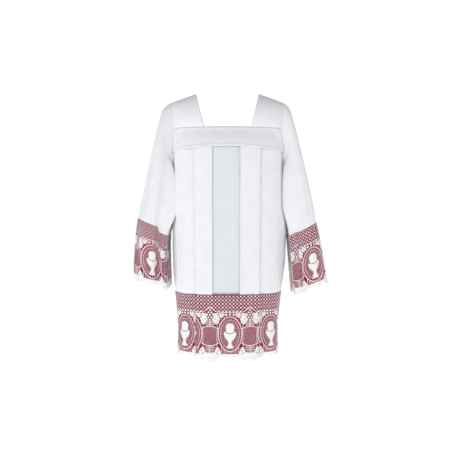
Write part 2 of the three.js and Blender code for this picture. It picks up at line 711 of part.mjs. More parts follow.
function hemLace({ name, face }) {
  const rows = [...LACE_ROWS, SCALLOP.medallion].map((down) => hemRow(down, face));
  const { ring, path } = hemRow(SCALLOP.medallion / 2, face);
  const flat = path.map((p) => pathPoint(ring, p, LACE_LIFT, 0));
  const along = [0];
  for (let i = 1; i < flat.length; i++) along.push(along[i - 1] + flat[i].distanceTo(flat[i - 1]));
  // Distances along the lace are counted from the middle medallion's axis.
  const k = flat.findIndex((p, i) => path[i].depth === FACE && p.x > HEM_AXIS[name]);
  const t = (HEM_AXIS[name] - flat[k - 1].x) / (flat[k].x - flat[k - 1].x);
  const zero = lerp(along[k - 1], along[k], t);
  const height = (j, i) => HEM_SEAM - (LACE_ROWS[j] ?? scallop(along[i] - zero));
  const geometry = pathWall(rows, LACE_LIFT, LACE, height);
  const place = (at, down) => {
    const i = along.findIndex((a) => a > at + zero);
    const open = path.every((p, k) => {
      const far = k !== i && k !== i - 1 && Math.abs(along[k] - at - zero) > FOLD_CLEAR;
      return far || (p.nd === 1 && p.depth > FACE / 2);
    });
    if (!open) return null;
    const here = hemRow(down, face);
    const [p, q] = [i - 1, i].map((n) =>
      pathPoint(here.ring, here.path[n], LACE_LIFT, HEM_SEAM - down),
    );
    const direction = new THREE.Vector3().subVectors(q, p).multiplyScalar(-face).normalize();
    const out = new THREE.Vector3(direction.y, -direction.x, 0);
    const share = (at + zero - along[i - 1]) / (along[i] - along[i - 1]);
    return laceFrame(p.lerp(q, share), direction, out);
  };
  add(`hem_lace_${name}`, openGaps(geometry, -zero, along.at(-1) - zero, place), materials.thread);
}

/** Half of a cuff's lace: the front or the back half of the tube. */
function cuffLace(arm, { name }) {
  const cuff = cuffStations(arm);
  const stations = cuff[name].map((s, i, all) => {
    if (i === 0) return s + SEAM;
    return i === all.length - 1 ? s - SEAM : s;
  });
  const stretch = (PITCH * CUFF_REPEATS) / cuff.along.at(-1);
  const zero = cuff.along[CUFF_AXIS[arm.name]];
  const downs = LACE_ROWS.map((down) => Math.max(LACE_START, down));
  const ends = stations.map((s) => scallop((s - zero) * stretch));
  const angles = stations.map(cuff.angleAt);
  const geometry = cuffWall(arm, [...downs, ends], angles, false, LACE_LIFT, LACE);
  const place = (at, down) => {
    const angle = cuff.angleAt(zero + at / stretch);
    const { out, over } = sleeveFrame(arm, cuffRow(down), angle);
    const p = sleevePoint(arm, cuffRow(down), angle).addScaledVector(out, LACE_LIFT);
    return laceFrame(p, over.multiplyScalar(-arm.side), out);
  };
  const [from, to] = [stations[0], stations.at(-1)].map((s) => (s - zero) * stretch);
  const cut = openGaps(geometry, from, to, place);
  add(`cuff_lace_${arm.name}_${name}`, cut, materials.thread);
}

// ------------------------------------------------------------------ assembly
SIDES.forEach(shoulder);
FACES.forEach(yoke);
FACES.forEach(panel);
SIDES.forEach(sleeve);
FACES.forEach(hemLining);
FACES.forEach(hemLace);
for (const arm of SIDES) {
  cuffLining(arm);
  FACES.forEach((half) => cuffLace(arm, half));
}

export default surplice;
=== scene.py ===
"""Surplice: pleated white cloth, wide sleeves and guipure lace over a wine-red lining."""
import logging
import math
from dataclasses import dataclass, field
from enum import Enum
from typing import Callable, Iterable, Sequence

import bmesh
import bpy
import numpy as np
from mathutils import Matrix, Vector, noise


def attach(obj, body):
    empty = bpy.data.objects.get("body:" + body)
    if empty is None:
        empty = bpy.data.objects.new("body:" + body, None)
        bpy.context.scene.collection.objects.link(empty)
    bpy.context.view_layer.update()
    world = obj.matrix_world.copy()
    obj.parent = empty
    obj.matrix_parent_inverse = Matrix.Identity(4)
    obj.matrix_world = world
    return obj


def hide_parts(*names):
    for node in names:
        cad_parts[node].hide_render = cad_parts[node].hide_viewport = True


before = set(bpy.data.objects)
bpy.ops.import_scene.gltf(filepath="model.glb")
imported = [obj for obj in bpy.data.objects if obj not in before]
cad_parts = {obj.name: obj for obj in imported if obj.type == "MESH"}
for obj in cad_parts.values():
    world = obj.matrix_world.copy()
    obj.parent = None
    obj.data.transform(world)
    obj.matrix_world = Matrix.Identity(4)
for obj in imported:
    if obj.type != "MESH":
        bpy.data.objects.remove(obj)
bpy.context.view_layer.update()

log = logging.getLogger("surplice")

MM = 0.001  # every size below is in millimetres, and meshes are in metres
SAME_POINT = 1e-6  # corners nearer than this, in metres, are one
RIPPLE_SEED, CRINKLE_SEED, YOKE_SEED = 3.1, 8.4, 5.2  # starts of the evenly repeated unevenness
TINY = 1e-12  # keeps a division by a length of nothing from failing

# ------------------------------------------------------------------ sizes
CLOTH = 0.7  # thickness of the white cloth
LINING = 0.6  # thickness of the red lining
NECK_HALF_CHEST = 83.0  # half width of the neck at the yokes
NECK_HALF_TOP = 116.0  # half width of the neck on the shoulders
YOKE_TOP = -134.0
YOKE_BOTTOM = -207.0
YOKE_HEIGHT = YOKE_TOP - YOKE_BOTTOM
YOKE_SAG = 14.0  # drop of the yoke's lower seam at SAG_AT from the centre
SAG_AT = 200.0
HEM_SEAM = -721.0  # height at which the panels end and the lace starts
LINING_LENGTH = 200.0
ARMHOLE_TOP = -30.0
ARMHOLE_BOTTOM = -305.0
ARMHOLE_MIDDLE = (ARMHOLE_TOP + ARMHOLE_BOTTOM) / 2
ARMHOLE_HALF = 52.0  # half depth of the armhole
ARMHOLE_POWER = 2.5
SHOULDER_END = 200.0  # half width of the shoulders at the armholes' tops
FOLD_RETURN = 3.9  # from the cloth behind a fold to its middle layer
FOLD_FACE = 1.3  # from a fold's middle layer to its face
FACE = FOLD_RETURN + FOLD_FACE
DROP_CLEAR = 5.0  # from the foot of an outer pleat's slope to the next fold
LACE_LIFT = 1.3  # from the middle of the lining to the lace
PITCH = 138.0  # length of one repeat of the lace
SCALLOP_HALF = 33.0  # half width of the scallop below a medallion
CUSP = 203.0  # from the seam to the notch between two scallops
MEDALLION_END = 215.0  # from the seam to the end of a medallion's scallop
VINE_END = 231.0  # from the seam to the end of a leaf's scallop

# Body sections: height, half widths right (-X) and left, half depths, power.
BODY = np.array([
    (-134, 210, 211, 96, 96, 2.6),
    (-175, 205, 207, 108, 104, 2.6),
    (-215, 201, 205, 116, 110, 2.6),
    (-300, 200, 209, 122, 116, 2.6),
    (-400, 201, 213, 126, 122, 2.6),
    (-520, 201, 215, 131, 128, 2.6),
    (-620, 199, 210, 134, 132, 2.6),
    (-680, 196, 203, 136, 134, 2.6),
    (-721, 191, 196, 137, 136, 2.6),
    (-780, 185, 189, 138, 137, 2.6),
    (-850, 181, 184, 139, 138, 2.6),
    (-960, 182, 185, 141, 140, 2.6),
], dtype=float)

# Sleeve sections: outer point (x, z), inner point (x, z) and half depth.
SLEEVE_RIGHT = np.array([
    (200, -30, 200, -305, 52), (222, -42, 203, -312, 60), (241, -66, 203, -319, 67),
    (251, -102, 203, -328, 74), (262, -146, 203, -340, 80), (275, -205, 203, -358, 86),
    (290, -275, 203, -386, 91), (304, -345, 203, -422, 95), (317, -403, 207, -459, 98),
    (327, -455, 213, -503, 100), (336, -526, 213, -573, 101), (341, -598, 211, -642, 102),
    (345, -670, 209, -711, 103),
], dtype=float)
SLEEVE_LEFT = np.array([
    (200, -30, 209, -305, 52), (219, -43, 212.5, -312, 60), (234, -69, 213, -319, 67),
    (244, -106, 213.5, -328, 74), (255, -149, 214, -340, 80), (268, -205, 214.5, -358, 86),
    (284, -275, 215, -386, 91), (299, -345, 215.6, -422, 95), (312, -410, 218, -467, 98),
    (322, -470, 221, -523, 100), (338, -541, 226, -593, 101), (351, -614, 231, -663, 102),
    (363, -686, 237, -732, 103),
], dtype=float)
SLEEVE_POWER = 2.5
SLEEVE_SHIFT = -4.0  # how far the cuffs hang in front of the armholes
SLEEVE_REST = (2.2, 7.0)  # gap to the body where the sleeve lies on it, and the section where it leaves
CUFF_STEP = (20.0, 111.0, 8.0)  # drop of the right cuff behind its fold, the fold's degrees and its slant
CUFF_ROW = 9.0  # section at which the cuff starts
CUFF_END_ROW = 12.0
CUFF_LENGTH = 227.0


class Face(Enum):
    """Front or back half of the body; the value is the sign of Y."""

    FRONT = -1
    BACK = 1


class Side(Enum):
    """The wearer's right or left; the value is the sign of X."""

    RIGHT = -1
    LEFT = 1


@dataclass(frozen=True)
class Fold:
    """One pressed fold on both sides of the centre: its places, and how far it laps."""

    yoke: float
    hem: float
    lap: float
    lace_right: float = 0.0
    lace_left: float = 0.0
    shift: float = 0.0

    def reach(self, side: Side, lacy: bool) -> float:
        """How far white cloth, or lace and lining, runs back under the pleat on one side."""
        lace = self.lace_right if side is Side.RIGHT else self.lace_left
        return lace if lacy else self.lap

    def at(self, side: Side, z: float) -> float:
        """X of the fold at height z."""
        down = np.clip((YOKE_BOTTOM - z) / (YOKE_BOTTOM - HEM_SEAM), 0, 1)
        return float(side.value * (self.yoke + (self.hem - self.yoke) * down) + self.shift)


OUTER_FOLD = Fold(yoke=186, hem=172, lap=36, lace_right=36, lace_left=36)
BOX_FOLD = Fold(yoke=115, hem=108, lap=34, lace_right=50, lace_left=58)
INNER_FOLD = Fold(yoke=50, hem=48, lap=9, shift=-4)


@dataclass(frozen=True)
class SoftFold:
    """A long soft fold of a sleeve, in degrees round it and millimetres deep."""

    at: float
    width: float
    depth: float
    start: float = 0.0  # section at which it starts

    def swell(self, degrees: float, row: float) -> float:
        """How far the fold lifts the sleeve.

        Args:
            degrees: place round the sleeve.
            row: fractional section.

        Returns:
            The lift in millimetres, below 0 in a hollow.
        """
        off = abs((degrees - self.at + 540) % 360 - 180) / self.width
        if off >= 1:
            return 0.0
        gain = smooth((row - self.start) / (CUFF_ROW - self.start)) if self.start else smooth(row / CUFF_ROW)
        return self.depth * gain * (1 + math.cos(math.pi * off)) / 2


SLEEVE_FOLDS = {
    Side.RIGHT: (
        SoftFold(48, 22, -5), SoftFold(80, 20, 4), SoftFold(114, 22, -13),
        SoftFold(238, 26, -9), SoftFold(300, 26, -6), SoftFold(20, 14, -2.5, 2),
        SoftFold(142, 12, 3.5, 1), SoftFold(100, 8, 2, 3),
    ),
    Side.LEFT: (
        SoftFold(46, 26, 4), SoftFold(88, 24, -4), SoftFold(124, 26, -12),
        SoftFold(240, 26, -9), SoftFold(304, 26, -6), SoftFold(18, 14, -2.5, 2),
        SoftFold(148, 12, 3.5, 1), SoftFold(66, 10, -2.5, 3),
    ),
}


# --------------------------------------------------------------- formulas
def smooth(t: float) -> float:
    """Eases a share t between 0 and 1."""
    t = min(1.0, max(0.0, t))
    return t * t * (3 - 2 * t)


def lerp(a: float, b: float, t: float) -> float:
    """Value between a and b at the share t."""
    return a + (b - a) * t


def curl(value: float, power: float) -> float:
    """Signed power, which draws a superellipse from sine and cosine."""
    return math.copysign(abs(value) ** (2 / power), value)


def read_row(table: np.ndarray, row: float) -> np.ndarray:
    """Smooth values of a table at a fractional row.

    Args:
        table: rows of sizes.
        row: the fractional row.

    Returns:
        One value for each column.
    """
    last = len(table) - 1
    i = int(min(last - 1, max(0, math.floor(row))))
    t = row - i
    a, b, c, d = (table[min(last, max(0, k))] for k in (i - 1, i, i + 1, i + 2))
    bend = 2 * a - 5 * b + 4 * c - d + t * (3 * (b - c) + d - a)
    return b + 0.5 * t * (c - a + t * bend)


def distances(points: np.ndarray) -> np.ndarray:
    """Distance along a row of points, from 0 at the first one."""
    return np.concatenate([[0], np.cumsum(np.linalg.norm(np.diff(points, axis=0), axis=1))])


def section(z: float) -> np.ndarray:
    """The body's section at a height.

    Args:
        z: the height.

    Returns:
        Half width right and left, half depth front and back, and power.
    """
    heights = BODY[:, 0]
    below = int(np.argmax(heights <= z)) if (heights <= z).any() else len(BODY) - 1
    i = max(1, below)
    row = i - 1 + (z - heights[i - 1]) / (heights[i] - heights[i - 1])
    return read_row(BODY, row)[1:]


class HalfRing:
    """Front or back half of the body's ring at one height, from -X to +X."""

    cache: dict[tuple[float, Face], "HalfRing"] = {}
    points_round = 361

    def __init__(self, z: float, face: Face) -> None:
        """Samples the ring.

        Args:
            z: the height.
            face: front or back.
        """
        right, left, front, back, power = section(z)
        angles = np.linspace(math.pi, 0, self.points_round)
        c = np.sign(np.cos(angles)) * np.abs(np.cos(angles)) ** (2 / power)
        s = np.abs(np.sin(angles)) ** (2 / power)
        deep = front if face is Face.FRONT else back
        self.points = np.stack([c * np.where(c < 0, right, left), face.value * deep * s], 1)
        self.along = distances(self.points)
        tangent = np.gradient(self.points, axis=0)
        out = np.stack([tangent[:, 1], -tangent[:, 0]], 1) * -face.value
        self.normals = out / np.linalg.norm(out, axis=1, keepdims=True)
        self.length = float(self.along[-1])

    @classmethod
    def at(cls, z: float, face: Face) -> "HalfRing":
        """The ring at a height, made once.

        Args:
            z: the height.
            face: front or back.

        Returns:
            The ring.
        """
        key = (round(z, 2), face)
        if key not in cls.cache:
            cls.cache[key] = cls(z, face)
        return cls.cache[key]

    def at_x(self, x: float) -> float:
        """Arc length at which the ring reaches x."""
        return float(np.interp(x, self.points[:, 0], self.along))

    def lift(self, s: np.ndarray, depth: np.ndarray) -> np.ndarray:
        """Points at arc lengths s, moved out by depth.

        Args:
            s: arc lengths in millimetres.
            depth: distances out from the ring.

        Returns:
            X and Y of each point.
        """
        at = [np.interp(s, self.along, column) for column in (*self.points.T, *self.normals.T)]
        return np.stack([at[0] + depth * at[2], at[1] + depth * at[3]], -1)


def armhole_half(z: float) -> float:
    """Half depth of the armhole at a height, 0 below the armpit."""
    off = abs(z - ARMHOLE_MIDDLE) / (ARMHOLE_TOP - ARMHOLE_MIDDLE)
    return 0.0 if off >= 1 else ARMHOLE_HALF * (1 - off**ARMHOLE_POWER) ** (1 / ARMHOLE_POWER)


def body_x(z: float, y: float, side: Side) -> float:
    """Half width of the body.

    Args:
        z: the height.
        y: distance in front of (-) or behind the middle.
        side: the wearer's right or left.

    Returns:
        Distance from the middle plane in millimetres.
    """
    right, left, front, back, power = section(z)
    wide = right if side is Side.RIGHT else left
    deep = front if y < 0 else back
    return wide * (1 - min(1.0, abs(y) / deep) ** power) ** (1 / power)


def armhole(side: Side, angle: float) -> Vector:
    """Point of the armhole's seam.

    Args:
        side: the wearer's right or left.
        angle: turn from the armhole's top over the front, in radians.

    Returns:
        The point in millimetres.
    """
    y = -ARMHOLE_HALF * curl(math.sin(angle), ARMHOLE_POWER)
    z = ARMHOLE_MIDDLE + (ARMHOLE_TOP - ARMHOLE_MIDDLE) * curl(math.cos(angle), ARMHOLE_POWER)
    rise = min(1.0, max(0.0, (z - YOKE_TOP) / (ARMHOLE_TOP - YOKE_TOP)))
    x = lerp(body_x(min(z, YOKE_TOP), y, side), SHOULDER_END, rise)
    return Vector((side.value * x, y, z))


def ripple(x: float, y: float, scale: float, seed: float) -> float:
    """Even, repeatable unevenness between -1 and 1 over a given length scale."""
    return noise.noise(Vector((x / scale, y / scale, seed)))


# ------------------------------------------------------------ pleated path
@dataclass
class Path:
    """The cloth's way round one half of the body at one height.

    Columns of stops: arc length on the ring, depth out from it, the direction
    (ns, nd) of the cloth's right side, and 1 where the cloth shows.
    """

    stops: np.ndarray
    counts: list[int]

    def offset(self, ring: HalfRing, lift: float) -> np.ndarray:
        """X and Y of the stops, moved to the right side by lift."""
        s, depth, ns, nd = self.stops.T[:4]
        return ring.lift(s + ns * lift, depth + nd * lift)


def flat_run(a: Sequence[float], b: Sequence[float], count: int) -> list[tuple]:
    """Stops strictly between two others.

    Args:
        a: the stop before them.
        b: the stop after them.
        count: number of equal steps from a to b.

    Returns:
        The stops, all on the cloth's right side and shown.
    """
    return [
        (lerp(a[0], b[0], k / count), lerp(a[1], b[1], k / count), 0.0, 1.0, 1.0)
        for k in range(1, count)
    ]


def fold_up(s: float, lap: float, step: float) -> list[tuple]:
    """Stops of cloth that turns back under a pleat and comes out on its face.

    Args:
        s: arc length of the fold.
        lap: how far the cloth runs back under the pleat.
        step: spacing of the stops.

    Returns:
        The stops, with round turns at both ends of the middle layer.
    """
    count = max(2, round(lap / step))
    shares = [lap * k / count for k in range(count + 1)]

    def turn(centre: float, depth: float, radius: float, way: int) -> list[tuple]:
        """Stops of a half turn.

        Args:
            centre: arc length of its centre.
            depth: its centre's distance out from the ring.
            radius: its radius.
            way: 1 where it bulges onwards, -1 where it bulges back.

        Returns:
            The stops.
        """
        stops = []
        for degrees in (30, 60, 90, 120, 150):
            a = math.radians(degrees)
            stops.append((
                centre + way * radius * math.sin(a), depth - radius * math.cos(a),
                -math.sin(a), way * math.cos(a), float(way < 0),
            ))
        return stops

    return [
        *[(s + share, 0.0, 0.0, 1.0, 0.0) for share in shares],
        *turn(s + lap, FOLD_RETURN / 2, FOLD_RETURN / 2, 1),
        *[(s + share, FOLD_RETURN, 0.0, -1.0, 0.0) for share in reversed(shares)],
        *turn(s, FOLD_RETURN + FOLD_FACE / 2, FOLD_FACE / 2, -1),
        *[(s + share, FACE, 0.0, 1.0, 1.0) for share in shares],
    ]


def fold_down(s: float, lap: float, step: float) -> list[tuple]:
    """The mirror of fold_up: the cloth leaves the face at s."""
    return [(s - p[0], p[1], -p[2], *p[3:]) for p in reversed(fold_up(0.0, lap, step))]


def pleated_path(
    ring: HalfRing,
    z: float,
    ends: tuple[float, float],
    step: float,
    lacy: bool,
    counts: Sequence[int] | None = None,
) -> Path:
    """Path of the pleated cloth, or of lace and lining, which skip the inner folds.

    Args:
        ring: half ring of the body.
        z: height that sets where the folds lie.
        ends: arc lengths where the cloth starts and ends.
        step: spacing of the stops.
        lacy: whether this is the path of lace and lining.
        counts: steps of each open run, or None to set them by length.

    Returns:
        The path.
    """
    def turned(turn: Callable, fold: Fold, side: Side) -> list[tuple]:
        """Stops of one fold, up to the pleat's face or down from it."""
        return turn(ring.at_x(fold.at(side, z)), fold.reach(side, lacy), step)

    def drop(side: Side) -> list[tuple]:
        """The slope from an outer pleat's face down to the foot of the box fold.

        Args:
            side: the wearer's right or left.

        Returns:
            Its two stops.
        """
        outer, box = (ring.at_x(fold.at(side, z)) for fold in (OUTER_FOLD, BOX_FOLD))
        top = outer - side.value * (OUTER_FOLD.reach(side, lacy) + FACE)
        return [(top, FACE, 0.0, 1.0, 1.0), (box + side.value * DROP_CLEAR, 0.0, 0.0, 1.0, 1.0)]

    right, left = Side.RIGHT, Side.LEFT
    parts = [
        [(ends[0], 0.0, 0.0, 1.0, 1.0)],
        turned(fold_up, OUTER_FOLD, right),
        drop(right),
        turned(fold_up, BOX_FOLD, right),
    ]
    if not lacy:
        parts += [turned(fold_down, INNER_FOLD, right), turned(fold_up, INNER_FOLD, left)]
    parts += [
        turned(fold_down, BOX_FOLD, left),
        drop(left)[::-1],
        turned(fold_down, OUTER_FOLD, left),
        [(ends[1], 0.0, 0.0, 1.0, 1.0)],
    ]
    gaps = list(zip(parts[:-1], parts[1:]))
    if counts is None:
        counts = [max(1, round(abs(b[0][0] - a[-1][0]) / step)) for a, b in gaps]
    stops = list(parts[0])
    for (before, after), count in zip(gaps, counts):
        stops += flat_run(before[-1], after[0], count) + after
    return Path(np.array(stops), list(counts))


def half_ends(ring: HalfRing, z: float, face: Face) -> tuple[float, float]:
    """Ends of one half of the body, at the armholes.

    Args:
        ring: its ring.
        z: the ring's height.
        face: front or back.

    Returns:
        Arc lengths of its start and its end.
    """
    y = face.value * armhole_half(z)
    if not y:
        return 0.0, ring.length
    return ring.at_x(-body_x(z, y, Side.RIGHT)), ring.at_x(body_x(z, y, Side.LEFT))


# ----------------------------------------------------------------- charts
class Chart:
    """A sampled surface: flat coordinates to points and outward normals.

    The grid holds one row for each distance down and one column for each
    distance along, both in millimetres.
    """

    def __init__(self, along: np.ndarray, down: np.ndarray, points: np.ndarray, outward: np.ndarray) -> None:
        """Keeps the samples.

        Args:
            along: distance along of each column.
            down: distance down of each row.
            points: rows x columns x 3 points.
            outward: the normal at each point.
        """
        self.along, self.down = np.asarray(along, float), np.asarray(down, float)
        self.points, self.outward = points, outward

    @classmethod
    def from_points(cls, along: np.ndarray, down: np.ndarray, points: np.ndarray, sign: float) -> "Chart":
        """Chart whose normals come from the grid itself.

        Args:
            along: distance along of each column.
            down: distance down of each row.
            points: rows x columns x 3 points.
            sign: 1 or -1, which turns the normals out.

        Returns:
            The chart.
        """
        over = np.gradient(points, axis=1)
        drop = np.gradient(points, axis=0)
        out = np.cross(drop, over) * sign
        out /= np.linalg.norm(out, axis=2, keepdims=True) + TINY
        return cls(along, down, points, out)

    def lift(self, flat: np.ndarray) -> np.ndarray:
        """World points of flat ones.

        Args:
            flat: rows of distance along, distance down and height, in millimetres.

        Returns:
            Rows of X, Y and Z in millimetres.
        """
        i = np.interp(flat[:, 0], self.along, np.arange(len(self.along)))
        j = np.interp(flat[:, 1], self.down, np.arange(len(self.down)))
        i0 = np.clip(i.astype(int), 0, len(self.along) - 2)
        j0 = np.clip(j.astype(int), 0, len(self.down) - 2)
        ti, tj = (i - i0)[:, None], (j - j0)[:, None]

        def blend(grid: np.ndarray) -> np.ndarray:
            """Reads a grid between its samples.

            Args:
                grid: rows x columns x 3 values.

            Returns:
                A row of values for each flat point.
            """
            upper = grid[j0, i0] * (1 - ti) + grid[j0, i0 + 1] * ti
            lower = grid[j0 + 1, i0] * (1 - ti) + grid[j0 + 1, i0 + 1] * ti
            return upper * (1 - tj) + lower * tj

        normal = blend(self.outward)
        normal /= np.linalg.norm(normal, axis=1, keepdims=True) + TINY
        return blend(self.points) + normal * flat[:, 2:3]


# ------------------------------------------------------------ piece makers
def new_piece(name: str, bm: bmesh.types.BMesh, material: bpy.types.Material) -> bpy.types.Object:
    """Turns a bmesh in metres into a piece of the root body.

    Args:
        name: the piece's name.
        bm: its mesh, which is freed.
        material: its finish.

    Returns:
        The new object.
    """
    mesh = bpy.data.meshes.new(name)
    bm.to_mesh(mesh)
    bm.free()
    mesh.materials.append(material)
    for polygon in mesh.polygons:
        polygon.use_smooth = True
    piece = bpy.data.objects.new(name, mesh)
    bpy.context.scene.collection.objects.link(piece)
    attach(piece, "root")
    log.info("%s: %d faces", name, len(mesh.polygons))
    return piece


def grid_piece(
    node: str,
    points: np.ndarray,
    material: bpy.types.Material,
    thickness: float,
    outward_sign: float,
    closed: bool = False,
    recess_shade: np.ndarray | None = None,
) -> bpy.types.Object:
    """Cloth made from a flat grid that is laid through rows of points.

    Args:
        node: the CAD node that the piece stands for.
        points: rows x columns x 3 points in millimetres.
        material: its finish.
        thickness: the cloth's thickness in millimetres.
        outward_sign: 1 if rows run down and columns to the right seen from outside.
        closed: whether each row is a full turn, its first point repeated last.
        recess_shade: how far each column lies behind the pleats, from 0 to 1, which sets its painted shade.

    Returns:
        The new object.
    """
    rows, columns = points.shape[:2]
    bm = bmesh.new()
    behind = bm.verts.layers.float.new("recess_shade")
    uv = bm.loops.layers.uv.new("cut")
    bmesh.ops.create_grid(bm, x_segments=columns - 1, y_segments=rows - 1, size=0.5)
    along = distances(points[rows // 2])
    down = distances(points[:, columns // 2])
    places = {}
    for vertex in bm.verts:
        i = round((vertex.co.x + 0.5) * (columns - 1))
        j = round((0.5 - vertex.co.y) * (rows - 1))
        places[vertex.index] = (i, j)
        # The mask marks the columns that take painted shade behind the pleats.
        if recess_shade is not None:
            vertex[behind] = recess_shade[i]
        vertex.co = Vector(points[j, i]) * MM
    bm.verts.index_update()
    for face in bm.faces:
        for loop in face.loops:
            i, j = places[loop.vert.index]
            loop[uv].uv = (along[i] * MM, -down[j] * MM)
    if closed:
        bmesh.ops.remove_doubles(bm, verts=bm.verts, dist=SAME_POINT)
    if outward_sign < 0:
        bmesh.ops.reverse_faces(bm, faces=bm.faces)
    piece = new_piece(f"{node}_cloth", bm, material)
    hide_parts(node)
    shell = piece.modifiers.new("thickness", "SOLIDIFY")
    shell.thickness = thickness * MM
    shell.offset = 0.0
    shell.use_even_offset = False
    return piece


# ---------------------------------------------------------------- finishes
class Finish:
    """A new material whose nodes are added and joined by short calls."""

    def __init__(self, name: str) -> None:
        """Makes the material.

        Args:
            name: its name.
        """
        self.material = bpy.data.materials.new(name)
        self.material.use_nodes = True
        self.shader = self.material.node_tree.nodes["Principled BSDF"]

    def feed(self, node: bpy.types.Node, inputs: dict) -> None:
        """Sets a node's inputs.

        Args:
            node: the node.
            inputs: for each input a socket to join to it, or else its value.
        """
        for key, value in inputs.items():
            if isinstance(value, bpy.types.NodeSocket):
                self.material.node_tree.links.new(value, node.inputs[key])
            else:
                node.inputs[key].default_value = value

    def add(self, kind: str, output: str, inputs: dict, **settings: str) -> bpy.types.NodeSocket:
        """Adds a node.

        Args:
            kind: its type, without the word that every shader node starts with.
            output: the name of the output that is used.
            inputs: as feed() takes them.
            settings: the node's own settings.

        Returns:
            The output.
        """
        node = self.material.node_tree.nodes.new(f"ShaderNode{kind}")
        for key, value in settings.items():
            setattr(node, key, value)
        self.feed(node, inputs)
        return node.outputs[output]

    def mix(self, share: bpy.types.NodeSocket, a: object, b: object) -> bpy.types.NodeSocket:
        """Mixes two colours, a at the share 0 and b at 1."""
        return self.add("Mix", "Result", {"Factor": share, "A": a, "B": b}, data_type="RGBA")

    def bump(self, height: bpy.types.NodeSocket, depth: float, **more: object) -> bpy.types.NodeSocket:
        """Raises the surface by a pattern.

        Args:
            height: the pattern.
            depth: how high it stands, in millimetres.
            more: the strength, and the normal that it is laid over, if any.

        Returns:
            The new normal.
        """
        return self.add("Bump", "Normal", {"Height": height, "Distance": depth * MM, **more})


@dataclass(frozen=True)
class ClothFinish:
    """A woven cloth: colour, gloss and weave.

    The weave lies in the cloth's own flat coordinates, in metres. The cloth
    between the inner folds, behind the pleats, takes a greyer colour: painted
    shade for that recessed single layer.
    """

    name: str
    colour: tuple[float, float, float]
    # painted shade colour for the hollows of the crease bumps
    shade: tuple[float, float, float]
    # painted shade colour for the cloth behind the pleats
    recess_shade: tuple[float, float, float]
    roughness: float
    sheen: float
    thread: float
    weave_depth: float
    crease_depth: float
    crease_scale: float = 26.0
    wave_in_a_unit: float = 0.314  # waves of the band pattern in a unit at a scale of 1

    def material(self) -> bpy.types.Material:
        """Builds the node material.

        Returns:
            The material.
        """
        finish = Finish(self.name)
        flat = finish.add("UVMap", "UV", {}, uv_map="cut")
        scale = self.wave_in_a_unit / (self.thread * MM)
        waves = [
            finish.add(
                "TexWave", "Fac", {"Vector": flat, "Scale": scale, "Distortion": 1.0, "Detail": 1.0},
                wave_type="BANDS", bands_direction=direction,
            )
            for direction in ("X", "Y")
        ]
        weave = finish.add("Math", "Value", dict(enumerate(waves)), operation="MAXIMUM")
        place = finish.add("TexCoord", "Object", {})
        soft = finish.add("TexNoise", "Fac", {"Vector": place, "Scale": self.crease_scale, "Detail": 3.0})
        share = finish.add("MapRange", "Result", {"Value": soft, "From Min": 0.3, "From Max": 0.62})
        # The crease noise darkens the colour where its bumps sink: painted shade in the creases.
        tint = finish.mix(share, (*self.shade, 1), (*self.colour, 1))
        # Painted shade for the recessed cloth behind the pleats.
        behind = finish.add("Attribute", "Fac", {}, attribute_name="recess_shade")
        fine = finish.bump(weave, self.weave_depth, Strength=0.5)
        finish.feed(finish.shader, {
            "Base Color": finish.mix(behind, tint, (*self.recess_shade, 1)),
            "Roughness": self.roughness,
            "Sheen Weight": self.sheen,
            "Sheen Roughness": 0.4,
            "Specular IOR Level": 0.3,
            "Normal": finish.bump(soft, self.crease_depth, Strength=0.6, Normal=fine),
        })
        return finish.material


@dataclass(frozen=True)
class ThreadFinish:
    """Matt embroidery thread: satin stitches that catch the light unevenly."""

    name: str
    colour: tuple[float, float, float]
    shade: tuple[float, float, float]
    # pink painted on thin cords for the lining's red light showing through them
    cord: tuple[float, float, float]
    stitch: float
    stitch_depth: float = 0.3

    def material(self) -> bpy.types.Material:
        """Builds the node material; thin cords are painted pinker for the lining's red light showing through
        them.

        Returns:
            The material.
        """
        finish = Finish(self.name)
        place = finish.add("TexCoord", "Object", {})
        stitches = finish.add(
            "TexNoise", "Fac", {"Vector": place, "Scale": 1 / (self.stitch * MM), "Detail": 2.0},
        )
        tint = finish.mix(stitches, (*self.shade, 1), (*self.colour, 1))
        # Thin cords take a painted pink for the lining's red light showing through them.
        thin = finish.add("Attribute", "Fac", {}, attribute_name="cord")
        finish.feed(finish.shader, {
            "Base Color": finish.mix(thin, tint, (*self.cord, 1)),
            "Roughness": 0.72,
            "Sheen Weight": 0.15,
            "Specular IOR Level": 0.35,
            "Normal": finish.bump(stitches, self.stitch_depth, Strength=0.6),
        })
        return finish.material


# Each cloth's recessed colour is painted shade for the cloth behind the pleats.
WHITE_CLOTH = ClothFinish(
    # shade: painted shade in the hollows of the crease bumps
    name="white_cloth", colour=(0.86, 0.87, 0.9), shade=(0.83, 0.845, 0.875), roughness=0.62,
    sheen=0.12, thread=0.42, weave_depth=0.06, crease_depth=0.9, recess_shade=(0.745, 0.785, 0.81),
)
RED_LINING = ClothFinish(
    # shade: painted shade in the hollows of the crease bumps
    name="red_lining", colour=(0.31, 0.014, 0.058), shade=(0.26, 0.011, 0.045), roughness=0.5,
    sheen=0.2, thread=0.3, weave_depth=0.05, crease_depth=0.5, recess_shade=(0.29, 0.013, 0.05),
)
LACE_THREAD = ThreadFinish(
    name="lace_thread", colour=(0.94, 0.925, 0.94), shade=(0.86, 0.84, 0.86),
    # cord: pink painted on thin cords for the lining's red light
    cord=(0.95, 0.84, 0.885), stitch=1.1,
)


